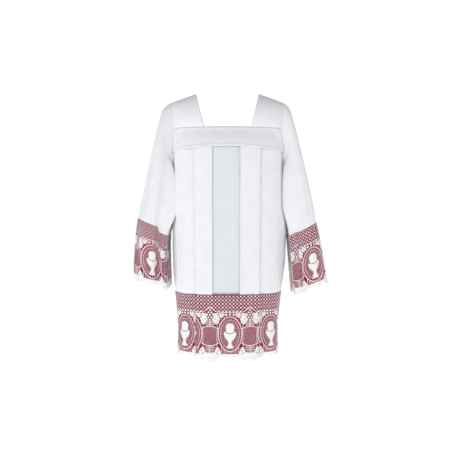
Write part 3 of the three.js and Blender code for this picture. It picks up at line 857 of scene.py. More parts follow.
# -------------------------------------------------------------- white body
@dataclass
class WhiteBody:
    """Shoulders, yokes and pleated panels."""

    material: bpy.types.Material
    thread: bpy.types.Material
    step: float = 8.0
    row_step: float = 11.0
    tuck: float = 7.0  # the panel runs this far up under the yoke
    ripple_height: float = 1.5
    ripple_width: float = 34.0
    ripple_stretch: float = 0.22  # a ripple's width as a share of its length
    crinkle_height: float = 1.0
    crinkle_width: float = 15.0
    crinkle_stretch: float = 0.35
    calm: float = 0.75  # share of the unevenness that goes just below the yoke
    calm_reach: float = 120.0
    sag_end: float = -420.0  # height below which the panel's rows are level
    sag_fade: float = 200.0
    ridge: float = 9.0  # height of the stitched band at the yoke's lower edge
    ridge_lift: float = 1.1
    ridge_flatness: float = 2.2
    yoke_ripple: float = 0.5
    yoke_ripple_width: float = 26.0
    yoke_lift: float = 1.4  # from the pleats' faces to the yoke's lower edge
    yoke_dents: tuple = ((-178, 34), (176, -30))  # place and lean of each shallow crease
    dent_depth: float = 2.4
    dent_width: float = 7.0
    yoke_columns: int = 91
    yoke_rows: int = 12
    ridge_rows: int = 8
    ridge_start: float = 0.86  # share of the ridge's height at which its rows start
    shoulder_rows: int = 61
    shoulder_columns: int = 25
    stitch: tuple[float, float, float] = (2.2, 0.55, 0.5)  # length, width and height of a stitch
    stitch_edge: float = 3.0  # from a piece's edge to its stitches
    stitch_hem: float = 1.5  # from the ridge's edges to their stitches
    stitch_lift: float = 0.7  # a stitch's centre above the cloth's, as a share of its thickness
    shoulder_width: float = 85.0
    stitch_tilt: float = 0.4  # how far stitches on the shoulders lean out
    yoke_seam: tuple[float, float, int] = (0.008, 0.992, 150)  # start, end and number of stitches
    shoulder_seam: tuple[float, float, int] = (0.012, 0.988, 120)

    @staticmethod
    def sag(x: float) -> float:
        """How far the yoke's lower seam hangs below its height at the centre."""
        return YOKE_SAG * (x / SAG_AT) ** 2

    def panel_row(self, z: float, face: Face, counts: Sequence[int] | None = None) -> np.ndarray:
        """Points of one row of a panel.

        Args:
            z: the row's height on the centre.
            face: front or back.
            counts: steps of each open run, or None to set them by length.

        Returns:
            Rows of X, Y and Z in millimetres.
        """
        ring = HalfRing.at(z, face)
        path = pleated_path(ring, z, half_ends(ring, z, face), self.step, False, counts)
        ease = 1 - self.calm * smooth((z - YOKE_BOTTOM + self.calm_reach) / self.calm_reach)
        ripple_z, crinkle_z = z * self.ripple_stretch, z * self.crinkle_stretch
        for stop in path.stops:
            s, depth = stop[0], stop[1]
            seed = RIPPLE_SEED + face.value
            swell = self.ripple_height * ripple(s, ripple_z, self.ripple_width, seed) * ease
            swell += self.crinkle_height * ripple(s, crinkle_z, self.crinkle_width, CRINKLE_SEED) * ease
            if depth in (0.0, FACE):
                stop[1] += swell
        flat = path.offset(ring, 0.0)
        hang = np.array([self.sag(x) for x in flat[:, 0]]) * smooth((z - self.sag_end) / self.sag_fade)
        return np.column_stack([flat, z - hang])

    def panel(self, face: Face) -> bpy.types.Object:
        """Pleated panel of one face of the body.

        Args:
            face: front or back.

        Returns:
            The piece.
        """
        top = YOKE_BOTTOM + self.tuck
        heights = np.linspace(top, HEM_SEAM, round((top - HEM_SEAM) / self.row_step) + 1)
        ring = HalfRing.at(HEM_SEAM, face)
        path = pleated_path(ring, HEM_SEAM, (0.0, ring.length), self.step, False)
        rows = np.stack([self.panel_row(float(z), face, path.counts) for z in heights])
        inside = [ring.at_x(INNER_FOLD.at(side, HEM_SEAM)) for side in Side]
        s, depth = path.stops.T[:2]
        reach = INNER_FOLD.lap + 1
        # Cloth between the inner folds, behind the pleats, is marked for painted shade.
        recess_shade = ((s > inside[0] - reach) & (s < inside[1] + reach) & (depth < FOLD_RETURN)).astype(float)
        node = f"{face.name.lower()}_panel"
        return grid_piece(node, rows, self.material, CLOTH, -face.value, recess_shade=recess_shade)

    def yoke_point(self, share: float, down: float, face: Face) -> Vector:
        """Point of a yoke band.

        Args:
            share: from the right armhole (0) to the left one (1).
            down: from the top seam (0) to the lower edge (1).
            face: front or back.

        Returns:
            The point in millimetres.
        """
        z = lerp(YOKE_TOP, YOKE_BOTTOM, down)
        ring = HalfRing.at(z, face)
        start, end = half_ends(ring, z, face)
        band = YOKE_HEIGHT * (1 - down)
        lift = (FACE + self.yoke_lift) * smooth(down * 1.05)
        if band < self.ridge:
            arch = math.sin(math.pi * min(1, band / self.ridge))
            lift += self.ridge_lift * min(1.0, self.ridge_flatness * arch)
        s = lerp(start, end, share)
        x = ring.lift(np.array([s]), np.array([0.0]))[0, 0]
        for centre, lean in self.yoke_dents:
            off = (x - centre) - lean * (0.5 - down)
            dent = self.dent_depth * math.exp(-((off / self.dent_width) ** 2))
            lift -= dent * smooth(down * 3) * smooth((1 - down) * 2.6)
        lift += self.yoke_ripple * ripple(x, z, self.yoke_ripple_width, YOKE_SEED * face.value)
        flat = ring.lift(np.array([s]), np.array([lift]))[0]
        return Vector((flat[0], flat[1], z - self.sag(flat[0]) * smooth(down)))

    def yoke(self, face: Face) -> bpy.types.Object:
        """Yoke band across the chest or the upper back.

        Args:
            face: front or back.

        Returns:
            The piece.
        """
        last = self.yoke_columns - 1
        ridge = self.ridge / YOKE_HEIGHT
        band = np.linspace(0, 1 - ridge, self.yoke_rows)
        downs = [*band, *(1 - ridge * np.linspace(self.ridge_start, 0, self.ridge_rows))]
        rows = np.array([[self.yoke_point(k / last, d, face) for k in range(last + 1)] for d in downs])
        node = f"{face.name.lower()}_yoke"
        return grid_piece(node, rows, self.material, CLOTH, -face.value)

    def shoulder_point(self, side: Side, across: float, over: float) -> Vector:
        """Point of a shoulder piece.

        Args:
            side: the wearer's right or left.
            across: from the neck (0) to the armhole (1).
            over: from the front seam (0) over the shoulder to the back one (1).

        Returns:
            The point in millimetres.
        """
        share = (YOKE_TOP - ARMHOLE_MIDDLE) / (ARMHOLE_TOP - ARMHOLE_MIDDLE)
        seam_angle = math.acos(share ** (ARMHOLE_POWER / 2))
        turn = math.pi * over
        face = Face.FRONT if over < 0.5 else Face.BACK
        ring = HalfRing.at(YOKE_TOP, face)
        start = ring.at_x(side.value * NECK_HALF_CHEST)
        chest = ring.lift(np.array([start]), np.array([0.0]))[0]
        rise = math.sin(turn)
        neck = Vector((
            side.value * lerp(NECK_HALF_CHEST, NECK_HALF_TOP, rise),
            chest[1] * abs(math.cos(turn)), YOKE_TOP * (1 - rise),
        ))
        arm = armhole(side, seam_angle * (1 - 2 * over))
        seam = armhole(side, seam_angle * -face.value)
        p = neck.lerp(arm, across)
        s = lerp(start, ring.at_x(seam.x), across)
        straight = np.array(chest) * (1 - across) + np.array(seam.xy) * across
        bulge = (ring.lift(np.array([s]), np.array([0.0]))[0] - straight) * math.cos(turn) ** 2
        p += Vector((bulge[0], bulge[1], 0))
        return p

    def shoulder(self, side: Side) -> bpy.types.Object:
        """Shoulder piece from the front yoke over the shoulder to the back yoke.

        Args:
            side: the wearer's right or left.

        Returns:
            The piece.
        """
        rows, columns = self.shoulder_rows, self.shoulder_columns
        grid = np.array([
            [self.shoulder_point(side, i / (columns - 1), j / (rows - 1)) for i in range(columns)]
            for j in range(rows)
        ])
        node = f"shoulder_{side.name.lower()}"
        return grid_piece(node, grid, self.material, CLOTH, side.value)

    def seams(self) -> list[list[Vector]]:
        """Lines of topstitching on yokes and shoulders.

        Returns:
            For each line its points on the cloth, in millimetres.
        """
        lines = []
        shares = np.linspace(*self.yoke_seam)
        overs = np.linspace(*self.shoulder_seam)
        hem = self.stitch_hem
        edge = self.stitch_edge / self.shoulder_width
        downs = (self.stitch_edge / YOKE_HEIGHT, 1 - (self.ridge + hem) / YOKE_HEIGHT, 1 - hem / YOKE_HEIGHT)
        for face in Face:
            for down in downs:
                lines.append([self.yoke_point(float(k), down, face) for k in shares])
        for side in Side:
            for across in (edge, 1 - edge):
                lines.append([self.shoulder_point(side, across, float(k)) for k in overs])
        return lines

    def stitching(self) -> bpy.types.Object:
        """Short raised stitches along every seam line.

        Returns:
            The piece.
        """
        bm = bmesh.new()
        for line in self.seams():
            for a, b in zip(line, line[1:]):
                middle, way = (a + b) / 2, (b - a).normalized()
                out = Vector((middle.x, middle.y, 0)).normalized()
                if middle.z > YOKE_TOP:
                    out = (out * self.stitch_tilt + Vector((0, 0, 1))).normalized()
                side = way.cross(out).normalized()
                axes = (way, side, side.cross(way))
                turned = Matrix([axis * size for axis, size in zip(axes, self.stitch)]).transposed()
                place = Matrix.Translation((middle + out * CLOTH * self.stitch_lift) * MM)
                bmesh.ops.create_cube(bm, size=1.0, matrix=place @ (turned * MM).to_4x4())
        return new_piece("topstitching", bm, self.thread)

    def build(self) -> list[bpy.types.Object]:
        """Builds every piece of the white body.

        Returns:
            The pieces.
        """
        pieces = [self.shoulder(side) for side in Side]
        pieces += [self.yoke(face) for face in Face]
        pieces += [self.panel(face) for face in Face]
        return [*pieces, self.stitching()]


# ----------------------------------------------------------------- sleeves
@dataclass
class Sleeve:
    """One sleeve with its cuff's lining and lace chart."""

    side: Side
    white: bpy.types.Material
    red: bpy.types.Material
    columns: int = 120
    fine: int = 360  # one column of the chart for each degree
    rest_start: float = 0.3  # share of the inner half at which it starts to be drawn in
    rest_blend: float = 0.45
    rest_fade: float = 2.5  # sections over which the sleeve leaves the body
    step_edge: float = 6.0  # degrees over which the right cuff's step falls
    step_end: float = 190.0  # where the cloth starts to rise again
    step_rise: float = 70.0
    step_rows: float = 3.0  # sections over which the step grows, and goes again
    crown_rows: int = 7
    sleeve_rows: int = 57
    lining_rows: int = 18
    lace_length: float = 241.0
    lace_step: float = 8.0

    @property
    def name(self) -> str:
        """The side's name in lower case."""
        return self.side.name.lower()

    def point(self, row: float, angle: float) -> Vector:
        """Point of the sleeve.

        Args:
            row: fractional section.
            angle: turn from the outer point over the front, in radians.

        Returns:
            The point in millimetres.
        """
        table = SLEEVE_RIGHT if self.side is Side.RIGHT else SLEEVE_LEFT
        out_x, out_z, in_x, in_z, depth = read_row(table, row)
        outer, inner = Vector((out_x, 0, out_z)), Vector((in_x, 0, in_z))
        middle, arm = (outer + inner) / 2, (outer - inner) / 2
        degrees = math.degrees(angle)
        fold = sum(soft.swell(degrees, row) for soft in SLEEVE_FOLDS[self.side])
        c, s = curl(math.cos(angle), SLEEVE_POWER), curl(math.sin(angle), SLEEVE_POWER)
        p = middle + arm * (c * (1 + fold / arm.length))
        p.y = -s * (depth + fold) + SLEEVE_SHIFT * smooth(row / CUFF_ROW)
        p.x = self.against_body(p, c, row)
        p.z -= self.step_down(degrees, row)
        p.x *= self.side.value
        if row < 1.0:
            p = armhole(self.side, angle).lerp(p, smooth(row))
        return p

    def against_body(self, p: Vector, c: float, row: float) -> float:
        """Distance from the middle plane of a sleeve point, drawn in to the body on its inner half.

        Args:
            p: the point before it is drawn in.
            c: place across the sleeve, from 1 outside to -1 inside.
            row: fractional section.

        Returns:
            The new X, for a sleeve on the positive side.
        """
        gap, leave = SLEEVE_REST
        inward = smooth((-c - self.rest_start) / self.rest_blend)
        along = smooth(row - 1) * (1 - smooth((row - leave) / self.rest_fade))
        rest = min(p.x, body_x(p.z, p.y, self.side) + gap)
        return lerp(p.x, rest, inward * along)

    def step_down(self, degrees: float, row: float) -> float:
        """How far the cloth behind the right sleeve's deep fold hangs lower, most at the cuff's seam.

        Args:
            degrees: place round the sleeve.
            row: fractional section.

        Returns:
            The drop in millimetres.
        """
        if self.side is Side.LEFT:
            return 0.0
        drop, start, slant = CUFF_STEP
        start += slant * max(0.0, row - CUFF_ROW)
        fall = smooth((degrees - start) / self.step_edge)
        around = fall * (1 - smooth((degrees - self.step_end) / self.step_rise))
        grow = smooth((row - (CUFF_ROW - self.step_rows)) / self.step_rows)
        return drop * around * grow * (1 - smooth((row - CUFF_ROW) / self.step_rows))

    def grid(self, rows: Sequence[float], columns: int) -> np.ndarray:
        """Points of some rows, each a full turn with its first point repeated last."""
        angles = np.linspace(0, 2 * math.pi, columns + 1)
        return np.array([[self.point(float(row), float(angle)) for angle in angles] for row in rows])

    def sleeve(self) -> bpy.types.Object:
        """White sleeve from the armhole to the cuff's lace.

        Returns:
            The piece.
        """
        crown = np.linspace(0, 1, self.crown_rows)[:-1]
        rows = np.concatenate([crown, np.linspace(1, CUFF_ROW, self.sleeve_rows)])
        grid, out = self.grid(rows, self.columns), -self.side.value
        return grid_piece(f"sleeve_{self.name}", grid, self.white, CLOTH, out, closed=True)

    def lining(self) -> bpy.types.Object:
        """Red lining of the cuff.

        Returns:
            The piece.
        """
        end = lerp(CUFF_ROW, CUFF_END_ROW, LINING_LENGTH / CUFF_LENGTH)
        rows = np.linspace(CUFF_ROW, end, self.lining_rows)
        grid, out = self.grid(rows, self.columns), -self.side.value
        return grid_piece(f"cuff_lining_{self.name}", grid, self.red, LINING, out, closed=True)

    def cuff_chart(self) -> Chart:
        """Chart of the cuff round its full turn, from its seam down.

        Returns:
            The chart.
        """
        downs = np.arange(0, self.lace_length, self.lace_step)
        grid = self.grid([lerp(CUFF_ROW, CUFF_END_ROW, down / CUFF_LENGTH) for down in downs], self.fine)
        return Chart.from_points(distances(grid[len(downs) // 2]), downs, grid, -self.side.value)


# -------------------------------------------------------------------- lace
@dataclass
class Stroke:
    """A corded line of the lace, in flat millimetres."""

    points: list[tuple[float, float]]
    width: float
    closed: bool = False
    lift: float = 0.0


@dataclass
class LaceRepeat:
    """One repeat of the lace: a medallion with half a vine column on each side.

    Flat coordinates run along the lace from the medallion's axis and down from
    its seam. A column's own drawing counts from the column's axis outwards.
    """

    strokes: list[Stroke] = field(default_factory=list)
    fills: list[list[list[tuple[float, float]]]] = field(default_factory=list)
    net_columns: int = 11
    frame_lift: float = 0.3  # how far frames and stems stand above the net
    edge_lift: float = 0.2
    vein_lift: float = 1.1  # a vein lies on a filled leaf
    net_end: float = 60.0  # from the seam to the net's lowest point
    net_cord: float = 1.6
    knot: float = 2.9
    small_knot: float = 0.62  # as a share of a knot
    swag_cord: float = 2.6
    swag_rise: float = 17.0  # how far the garland rises over a column
    swag_reach: float = 14.0
    oval_centre: float = 134.5
    oval_wide: float = 40.3
    oval_high: float = 59.3
    oval_cord: float = 3.2
    ladder: float = 0.81  # share of the oval at which the ladder row ends
    rungs: int = 36
    rung_cord: float = 1.0
    inner_cord: float = 1.5
    net_step: float = 10.4  # height between the diagonals of the medallion's net
    fine_net_cord: float = 0.85
    host_centre: float = 112.3
    host: float = 15.2
    host_crown: float = 4.2  # how much further the host reaches where it meets the chalice
    panel_half: float = 26.0
    panel_top: float = 108.0
    panel_bottom: float = 175.0
    panel_bow: float = 7.0
    panel_waist: float = 1.2  # how much narrower it is at its middle
    mesh_pitch: float = 4.4
    mesh_span: float = 29.0  # height of half a panel, for the mesh's slope
    mesh_cord: float = 0.34
    frame_cord: float = 2.4
    rail_cord: float = 3.0
    stem_cord: float = 1.5
    bar_cord: float = 1.3
    vein_cord: float = 1.0
    edge_cord: float = 3.4
    edge_inset: float = 2.0  # from the scallop's edge to its cord
    short_bar_cord: float = 1.9
    bar_pitch: float = 5.9
    bar_spread: float = 1.04  # how much wider the short bars stand at their feet
    grape: float = 3.5
    fill_foot: float = 0.35  # height at which a filled shape starts
    fill_height: float = 0.45
    rim_width: float = 0.6
    rim_height: float = 0.35
    cut_step: float = 6.0
    cord_flatness: float = 0.6  # height of a cord as a share of its width

    @staticmethod
    def arc(x: float, y: float, rx: float, ry: float, start: float, end: float, steps: int) -> list[tuple]:
        """Points of an elliptical arc; angles in degrees, 90 is down."""
        angles = np.radians(np.linspace(start, end, steps + 1))
        return [(x + rx * math.cos(a), y + ry * math.sin(a)) for a in angles]

    def cord(self, points: Sequence[tuple[float, float]], width: float, lift: float = 0.0) -> None:
        """Adds an open cord."""
        self.strokes.append(Stroke(list(points), width, lift=lift))

    def ring(self, x: float, y: float, radius: float, width: float, steps: int = 10) -> None:
        """Adds a small closed ring.

        Args:
            x: its centre along the lace.
            y: its centre's distance down.
            radius: its radius.
            width: its cord's width.
            steps: number of its corners.
        """
        points = self.arc(x, y, radius, radius, 0, 360, steps)[:-1]
        self.strokes.append(Stroke(points, width, closed=True))

    def fill(
        self, outline: list[tuple[float, float]], holes: Sequence[tuple] = (), place: Callable | None = None,
    ) -> None:
        """Adds a filled shape.

        Args:
            outline: its corners.
            holes: centre, half sizes and lean in degrees of each oval hole.
            place: placer of a column, or None on the medallion's axis.
        """
        rings = [outline]
        for x, y, rx, ry, lean in holes:
            c, s = math.cos(math.radians(lean)), math.sin(math.radians(lean))
            oval = self.arc(0, 0, rx, ry, 0, 360, 7)[:-1]
            rings.append([(x + u * c - v * s, y + u * s + v * c) for u, v in oval])
        if place:
            rings = [[place(*p) for p in ring] for ring in rings]
        self.fills.append(rings)

    def disc(self, x: float, y: float, rx: float, ry: float, steps: int = 14) -> None:
        """Adds a filled oval."""
        self.fill(self.arc(x, y, rx, ry, 0, 360, steps)[:-1])

    def columns(self) -> Iterable[Callable[[float, float], tuple[float, float]]]:
        """Yields a placer for each of the half columns at the ends of the repeat."""
        for sign in (-1, 1):
            yield lambda u, y, sign=sign: (sign * (PITCH / 2 - u), y)

    @classmethod
    def garland(cls, x: float) -> float:
        """Distance down of the cord between the net and the vines."""
        off = PITCH / 2 - abs((x + PITCH / 2) % PITCH - PITCH / 2)
        return cls.net_end - cls.swag_rise * math.exp(-((off / cls.swag_reach) ** 1.5))

    @staticmethod
    def edge(x: float) -> float:
        """Scalloped lower edge of the lace.

        Args:
            x: distance along from a medallion's axis.

        Returns:
            The edge's distance down.
        """
        off = abs((x + PITCH / 2) % PITCH - PITCH / 2)
        if off < SCALLOP_HALF:
            return lerp(CUSP, MEDALLION_END, math.sqrt(max(0.0, 1 - (off / SCALLOP_HALF) ** 2)))
        t = 2 * (off - SCALLOP_HALF) / (PITCH - 2 * SCALLOP_HALF) - 1
        return lerp(CUSP, VINE_END, math.sqrt(max(0.0, 1 - t * t)))

    def net(self) -> None:
        """Diagonal net with knots, between the seam and the garland."""
        pitch = PITCH / self.net_columns
        rows = math.ceil(self.net_end / (pitch / 2))
        for row in range(rows):
            points = []
            for k in range(2 * self.net_columns + 1):
                x = -PITCH / 2 + k * pitch / 2
                y = (row + (k + row) % 2) * pitch / 2
                points.append((x, min(y, self.garland(x))))
            self.cord(points, self.net_cord)
        for row in range(1, rows + 1):
            for k in range(row % 2, 2 * self.net_columns, 2):
                x, y = -PITCH / 2 + k * pitch / 2, row * pitch / 2
                if y + self.knot < self.garland(x):
                    size = self.knot if row % 2 else self.small_knot * self.knot
                    self.disc(x, y, size, size, 6)

    def garland_cord(self) -> None:
        """Cord in swags over the columns and medallions, and three dots."""
        xs = np.linspace(-PITCH / 2, PITCH / 2, 41)
        self.cord([(float(x), self.garland(float(x))) for x in xs], self.swag_cord, self.frame_lift)
        for x, y in ((-12.6, 68.2), (0.0, 67.0), (12.6, 68.2)):
            self.disc(x, y, 3.9, 3.9, 12)
            self.cord([(x, self.net_end), (x, self.net_end + 5)], self.rung_cord)
        for x in (-20, 20):
            self.cord([(x, self.net_end), (x, self.oval_centre - self.oval_half(x))], self.bar_cord)

    def oval_half(self, x: float) -> float:
        """Half height of the medallion's frame at a distance from its axis."""
        return self.oval_high * math.sqrt(1 - (x / self.oval_wide) ** 2)

    def on_oval(self, share: float, degrees: float) -> tuple[float, float]:
        """Point of an oval that is a share of the medallion's frame."""
        a = math.radians(degrees)
        return self.oval_wide * share * math.cos(a), self.oval_centre + self.oval_high * share * math.sin(a)

    def medallion(self) -> None:
        """Oval frame, a ladder row inside it, and a diagonal net within."""
        outer = [self.on_oval(1, degrees) for degrees in range(0, 360, 6)]
        self.strokes.append(Stroke(outer, self.oval_cord, closed=True, lift=self.frame_lift))
        inner = [self.on_oval(self.ladder, degrees) for degrees in range(0, 360, 8)]
        self.strokes.append(Stroke(inner, self.inner_cord, closed=True))
        for k in range(self.rungs):
            degrees = 360 // self.rungs * k
            self.cord([self.on_oval(1, degrees), self.on_oval(self.ladder, degrees)], self.rung_cord)
        rx, ry = self.oval_wide * self.ladder, self.oval_high * self.ladder
        for way in (-1, 1):
            for k in range(-8, 8):
                # Where y = way * x + off crosses the inner oval.
                off = (k + 0.5) * self.net_step
                a, b, c = 1 / rx**2 + 1 / ry**2, 2 * way * off / ry**2, off**2 / ry**2 - 1
                root = b * b - 4 * a * c
                if root <= 0:
                    continue
                ends = [(-b - math.sqrt(root)) / (2 * a), (-b + math.sqrt(root)) / (2 * a)]
                count = max(1, round((ends[1] - ends[0]) / 8))
                xs = np.linspace(*ends, count + 1)
                line = [(float(x), self.oval_centre + way * float(x) + off) for x in xs]
                self.cord(line, self.fine_net_cord)

    def host_and_chalice(self) -> None:
        """Filled host over a filled chalice."""
        host = []
        for degrees in range(0, 360, 8):
            radius = self.host + self.host_crown * smooth((62 - abs(degrees - 90)) / 14)
            host += self.arc(0, self.host_centre, radius, radius, degrees, degrees, 0)
        self.fill(host)
        half = [
            (0, 134.6), (7, 133.6), (13, 130.6), (17, 127.4), (20.8, 127.2), (20.9, 134.5), (19.8, 141.5),
            (17.2, 147.2), (13.4, 152), (9.2, 156.2), (6.2, 160.5), (5.1, 165), (5.9, 169.5), (8.2, 174.4),
            (11.8, 179.4), (13, 182), (6, 183.6), (0, 184),
        ]
        self.fill(half + [(-x, y) for x, y in half[-2:0:-1]])
        self.cord([(-4.6, 163.6), (4.6, 163.6)], 1.6, 0.9)
        self.cord(self.arc(0, self.host_centre, 12.4, 12.4, 0, 360, 26), 0.9, 1.0)

    def on_panel(self, a: float, b: float) -> tuple[float, float]:
        """Point of a mesh panel.

        Args:
            a: from its column's axis (0) to its sides (-1 and 1).
            b: from its top (-1) to its foot (1).

        Returns:
            Distances from the column's axis and down.
        """
        top = self.panel_top + self.panel_bow * a * a
        bottom = self.panel_bottom - self.panel_bow * a * a
        return a * (self.panel_half - self.panel_waist * (1 - b * b)), lerp(top, bottom, (b + 1) / 2)

    def panels(self) -> None:
        """Half a finely meshed panel in a corded frame at each end."""
        ticks = np.linspace(0, 1, 8)
        both = np.linspace(-1, 1, 13)
        for place in self.columns():
            self.cord([place(*self.on_panel(1, b)) for b in both], self.frame_cord, self.edge_lift)
            for b in (-1, 1):
                edge = [self.on_panel(a, b) for a in ticks]
                edge.append((self.panel_half + 4.2, edge[-1][1] + b * -2.2))
                self.cord([place(*p) for p in edge], self.rail_cord, self.frame_lift)
            slope = self.panel_half / self.mesh_span
            step = self.mesh_pitch / self.mesh_span
            for way in (-1, 1):
                for k in range(-14, 15):
                    line = [(a, way * a * slope + k * step) for a in np.linspace(0, 1, 13)]
                    inside = [place(*self.on_panel(a, b)) for a, b in line if -1 < b < 1]
                    if len(inside) > 1:
                        self.cord(inside, self.mesh_cord)

    def vines(self) -> None:
        """Half a grape cluster, a vine leaf and stems at each end."""
        leaf = [
            (9.5, 67), (14, 61.5), (19.5, 64.5), (25, 60.5), (30.2, 64.5), (30.2, 79), (34, 80), (34.5, 87),
            (31, 89), (32, 96), (27, 97), (25.5, 104.5), (21, 99.5), (17, 102.5), (15.5, 94.5), (10.8, 93.5),
            (13.5, 87), (8.2, 83), (12.6, 76),
        ]
        small_leaf = [
            (32.4, 64), (38, 62), (42, 64.5), (48, 62.5), (50.5, 66.5), (46, 70), (47, 75.5), (41.5, 76.5),
            (39, 81), (36, 78), (32.4, 78),
        ]
        leaf_holes = (
            (15.5, 69.5, 1.1, 3, 20), (25.5, 68, 1.0, 3, -15), (17, 84, 1.0, 3.4, 25),
            (27, 87, 1.1, 3.2, -20), (22.5, 94, 1.0, 2.6, 0),
        )
        small_leaf_holes = ((38.5, 70.5, 1.1, 3, -35), (43, 68, 1.0, 1.8, 60))
        veins = (
            ((11, 71), (20, 78), (24.5, 100)), ((20, 78), (20.5, 66)), ((20, 78), (29, 70)),
            ((21, 84), (31, 84)), ((34, 74), (40, 70), (47, 66)),
        )
        stems = (
            ((31, 98), (33.5, 103)), ((24, 105), (27, 113)), ((40, 84), (43.5, 88)), ((51, 68), (55, 72)),
        )
        grapes = ((0, 52), (5.2, 60.5), (0, 69), (10.2, 69), (5.2, 77.5), (0, 86), (9.8, 86))
        for place in self.columns():
            self.fill(leaf, leaf_holes, place)
            self.fill(small_leaf, small_leaf_holes, place)
            for vein in veins:
                self.cord([place(*p) for p in vein], self.vein_cord, self.vein_lift)
            for u, y in grapes:
                if u:
                    self.disc(*place(u, y), self.grape, self.grape, 10)
                else:
                    self.fill(self.arc(0, y, self.grape, self.grape, -90, 90, 6), (), place)
            self.cord([place(0.6, 86), place(0.6, 107)], self.frame_cord, self.frame_lift)
            for u in (4.4, 8.8, 13.2):
                self.cord([place(u, 88 + u / 4), place(u, 109)], self.stem_cord)
            for y in (95.5, 102):
                self.cord([place(0, y), place(14, y)], self.bar_cord)
            for stem in stems:
                self.cord([place(*p) for p in stem], self.stem_cord)

    def leaf_scallop(self) -> None:
        """Half a broad leaf with a petalled edge at each end, and its bars."""
        body = [
            (0, 200.5), (4, 197), (8, 200.5), (12, 196.5), (15.5, 197.5), (18, 190), (21.5, 182),
            (26.5, 179), (31, 182), (33.5, 188), (36.5, 192.5), (38.5, 198), (37, 203), (33, 208.5),
            (28, 213.5), (21, 218), (13, 221), (5, 222.4), (0, 222.6),
        ]
        holes = (
            (6, 208, 1.3, 3.4, 0), (14, 206.5, 1.3, 3.6, -20), (22, 199, 1.3, 4, -30),
            (29, 191, 1.3, 3.4, -20), (28, 203, 1.3, 3, -50), (10, 216, 1.5, 1.5, 0),
            (19.5, 211.5, 1.5, 1.5, 0),
        )
        for place in self.columns():
            self.fill(body, holes, place)
            for degrees in (8, 26, 44, 62, 80):
                a = math.radians(degrees)
                self.disc(*place(34.5 * math.cos(a), 202.5 + 24.3 * math.sin(a)), 4.5, 4.3, 9)
                a = math.radians(degrees + 9)
                self.ring(*place(38 * math.cos(a), 203 + 27 * math.sin(a)), 1.7, 1.2, 7)
            for start in ((12, 200), (22, 190), (28, 186)):
                self.cord([place(*start), place(start[0] * 0.75, 216)], 1.2, self.vein_lift)
            self.cord([place(0.6, 173), place(0.6, 199)], self.frame_cord, self.frame_lift)
            for u in (4.6, 9.2, 13.8):
                self.cord([place(u, self.panel_bottom - 2), place(u, 199)], self.stem_cord)
            for y in (181, 189):
                self.cord([place(0, y), place(20, y)], self.bar_cord)
            self.cord([place(22, 167), place(25, 181)], 1.8)

    def barred_scallop(self) -> None:
        """Scallop of short bars below the medallion, with a looped edge."""
        for k in range(-5, 6):
            x = k * self.bar_pitch
            foot = x * self.bar_spread
            top = self.oval_centre + self.oval_half(x)
            self.cord([(x, top), (foot, self.edge(foot) - self.edge_inset)], self.short_bar_cord)
        xs = np.linspace(-SCALLOP_HALF, SCALLOP_HALF, 25)
        line = [(float(x), self.edge(float(x)) - self.edge_inset) for x in xs]
        self.cord(line, self.edge_cord, self.edge_lift)
        self.cord([(float(x), self.edge(float(x)) - 9.0) for x in xs[3:-3]], self.bar_cord)
        for x in np.linspace(-31, 31, 12):
            self.ring(float(x), self.edge(float(x)) + 0.6, 1.9, 1.3, 8)

    def draw(self) -> None:
        """Draws the whole repeat."""
        self.net()
        self.garland_cord()
        self.medallion()
        self.host_and_chalice()
        self.panels()
        self.vines()
        self.leaf_scallop()
        self.barred_scallop()

    def cords_mesh(self) -> bpy.types.Mesh:
        """Makes every stroke a flattened cord.

        Returns:
            Their mesh, in flat millimetres.
        """
        curve = bpy.data.curves.new("lace_cords", "CURVE")
        curve.dimensions = "3D"
        curve.bevel_depth = 1.0
        curve.bevel_resolution = 0
        curve.use_fill_caps = True
        for stroke in self.strokes:
            spline = curve.splines.new("POLY")
            spline.points.add(len(stroke.points) - 1)
            for point, (x, y) in zip(spline.points, stroke.points):
                point.co = (x, y, stroke.lift, 1)
                point.radius = stroke.width / 2
            spline.use_cyclic_u = stroke.closed
        holder = bpy.data.objects.new("lace_cords", curve)
        bpy.context.scene.collection.objects.link(holder)
        graph = bpy.context.evaluated_depsgraph_get()
        mesh = bpy.data.meshes.new_from_object(holder.evaluated_get(graph))
        mesh.transform(Matrix.Diagonal((1, 1, self.cord_flatness, 1)))
        bpy.data.objects.remove(holder)
        bpy.data.curves.remove(curve)
        return mesh

    def raise_fill(self, bm: bmesh.types.BMesh, rings: list[list[tuple[float, float]]]) -> None:
        """Adds one filled shape with a rounded rim.

        Args:
            bm: the mesh that it is added to.
            rings: its outline and then its holes.
        """
        edges = []
        for ring in rings:
            corners = [bm.verts.new((x, y, self.fill_foot)) for x, y in ring]
            edges += [bm.edges.new(pair) for pair in zip(corners, corners[1:] + corners[:1])]
        filled = bmesh.ops.triangle_fill(bm, edges=edges, use_beauty=True, use_dissolve=False)
        flat = [g for g in filled["geom"] if isinstance(g, bmesh.types.BMFace)]
        wall = bmesh.ops.extrude_face_region(bm, geom=flat)
        top = [g for g in wall["geom"] if isinstance(g, bmesh.types.BMFace)]
        rim = {v for f in top for v in f.verts}
        bmesh.ops.translate(bm, vec=(0, 0, self.fill_height), verts=list(rim))
        bmesh.ops.inset_region(
            bm, faces=top, thickness=self.rim_width, depth=self.rim_height, use_even_offset=True,
        )

    def flat_mesh(self) -> bpy.types.Mesh:
        """Draws the repeat and builds it: cords, and fills with rounded rims.

        Returns:
            The mesh, in flat millimetres.
        """
        self.draw()
        bm = bmesh.new()
        for rings in self.fills:
            self.raise_fill(bm, rings)
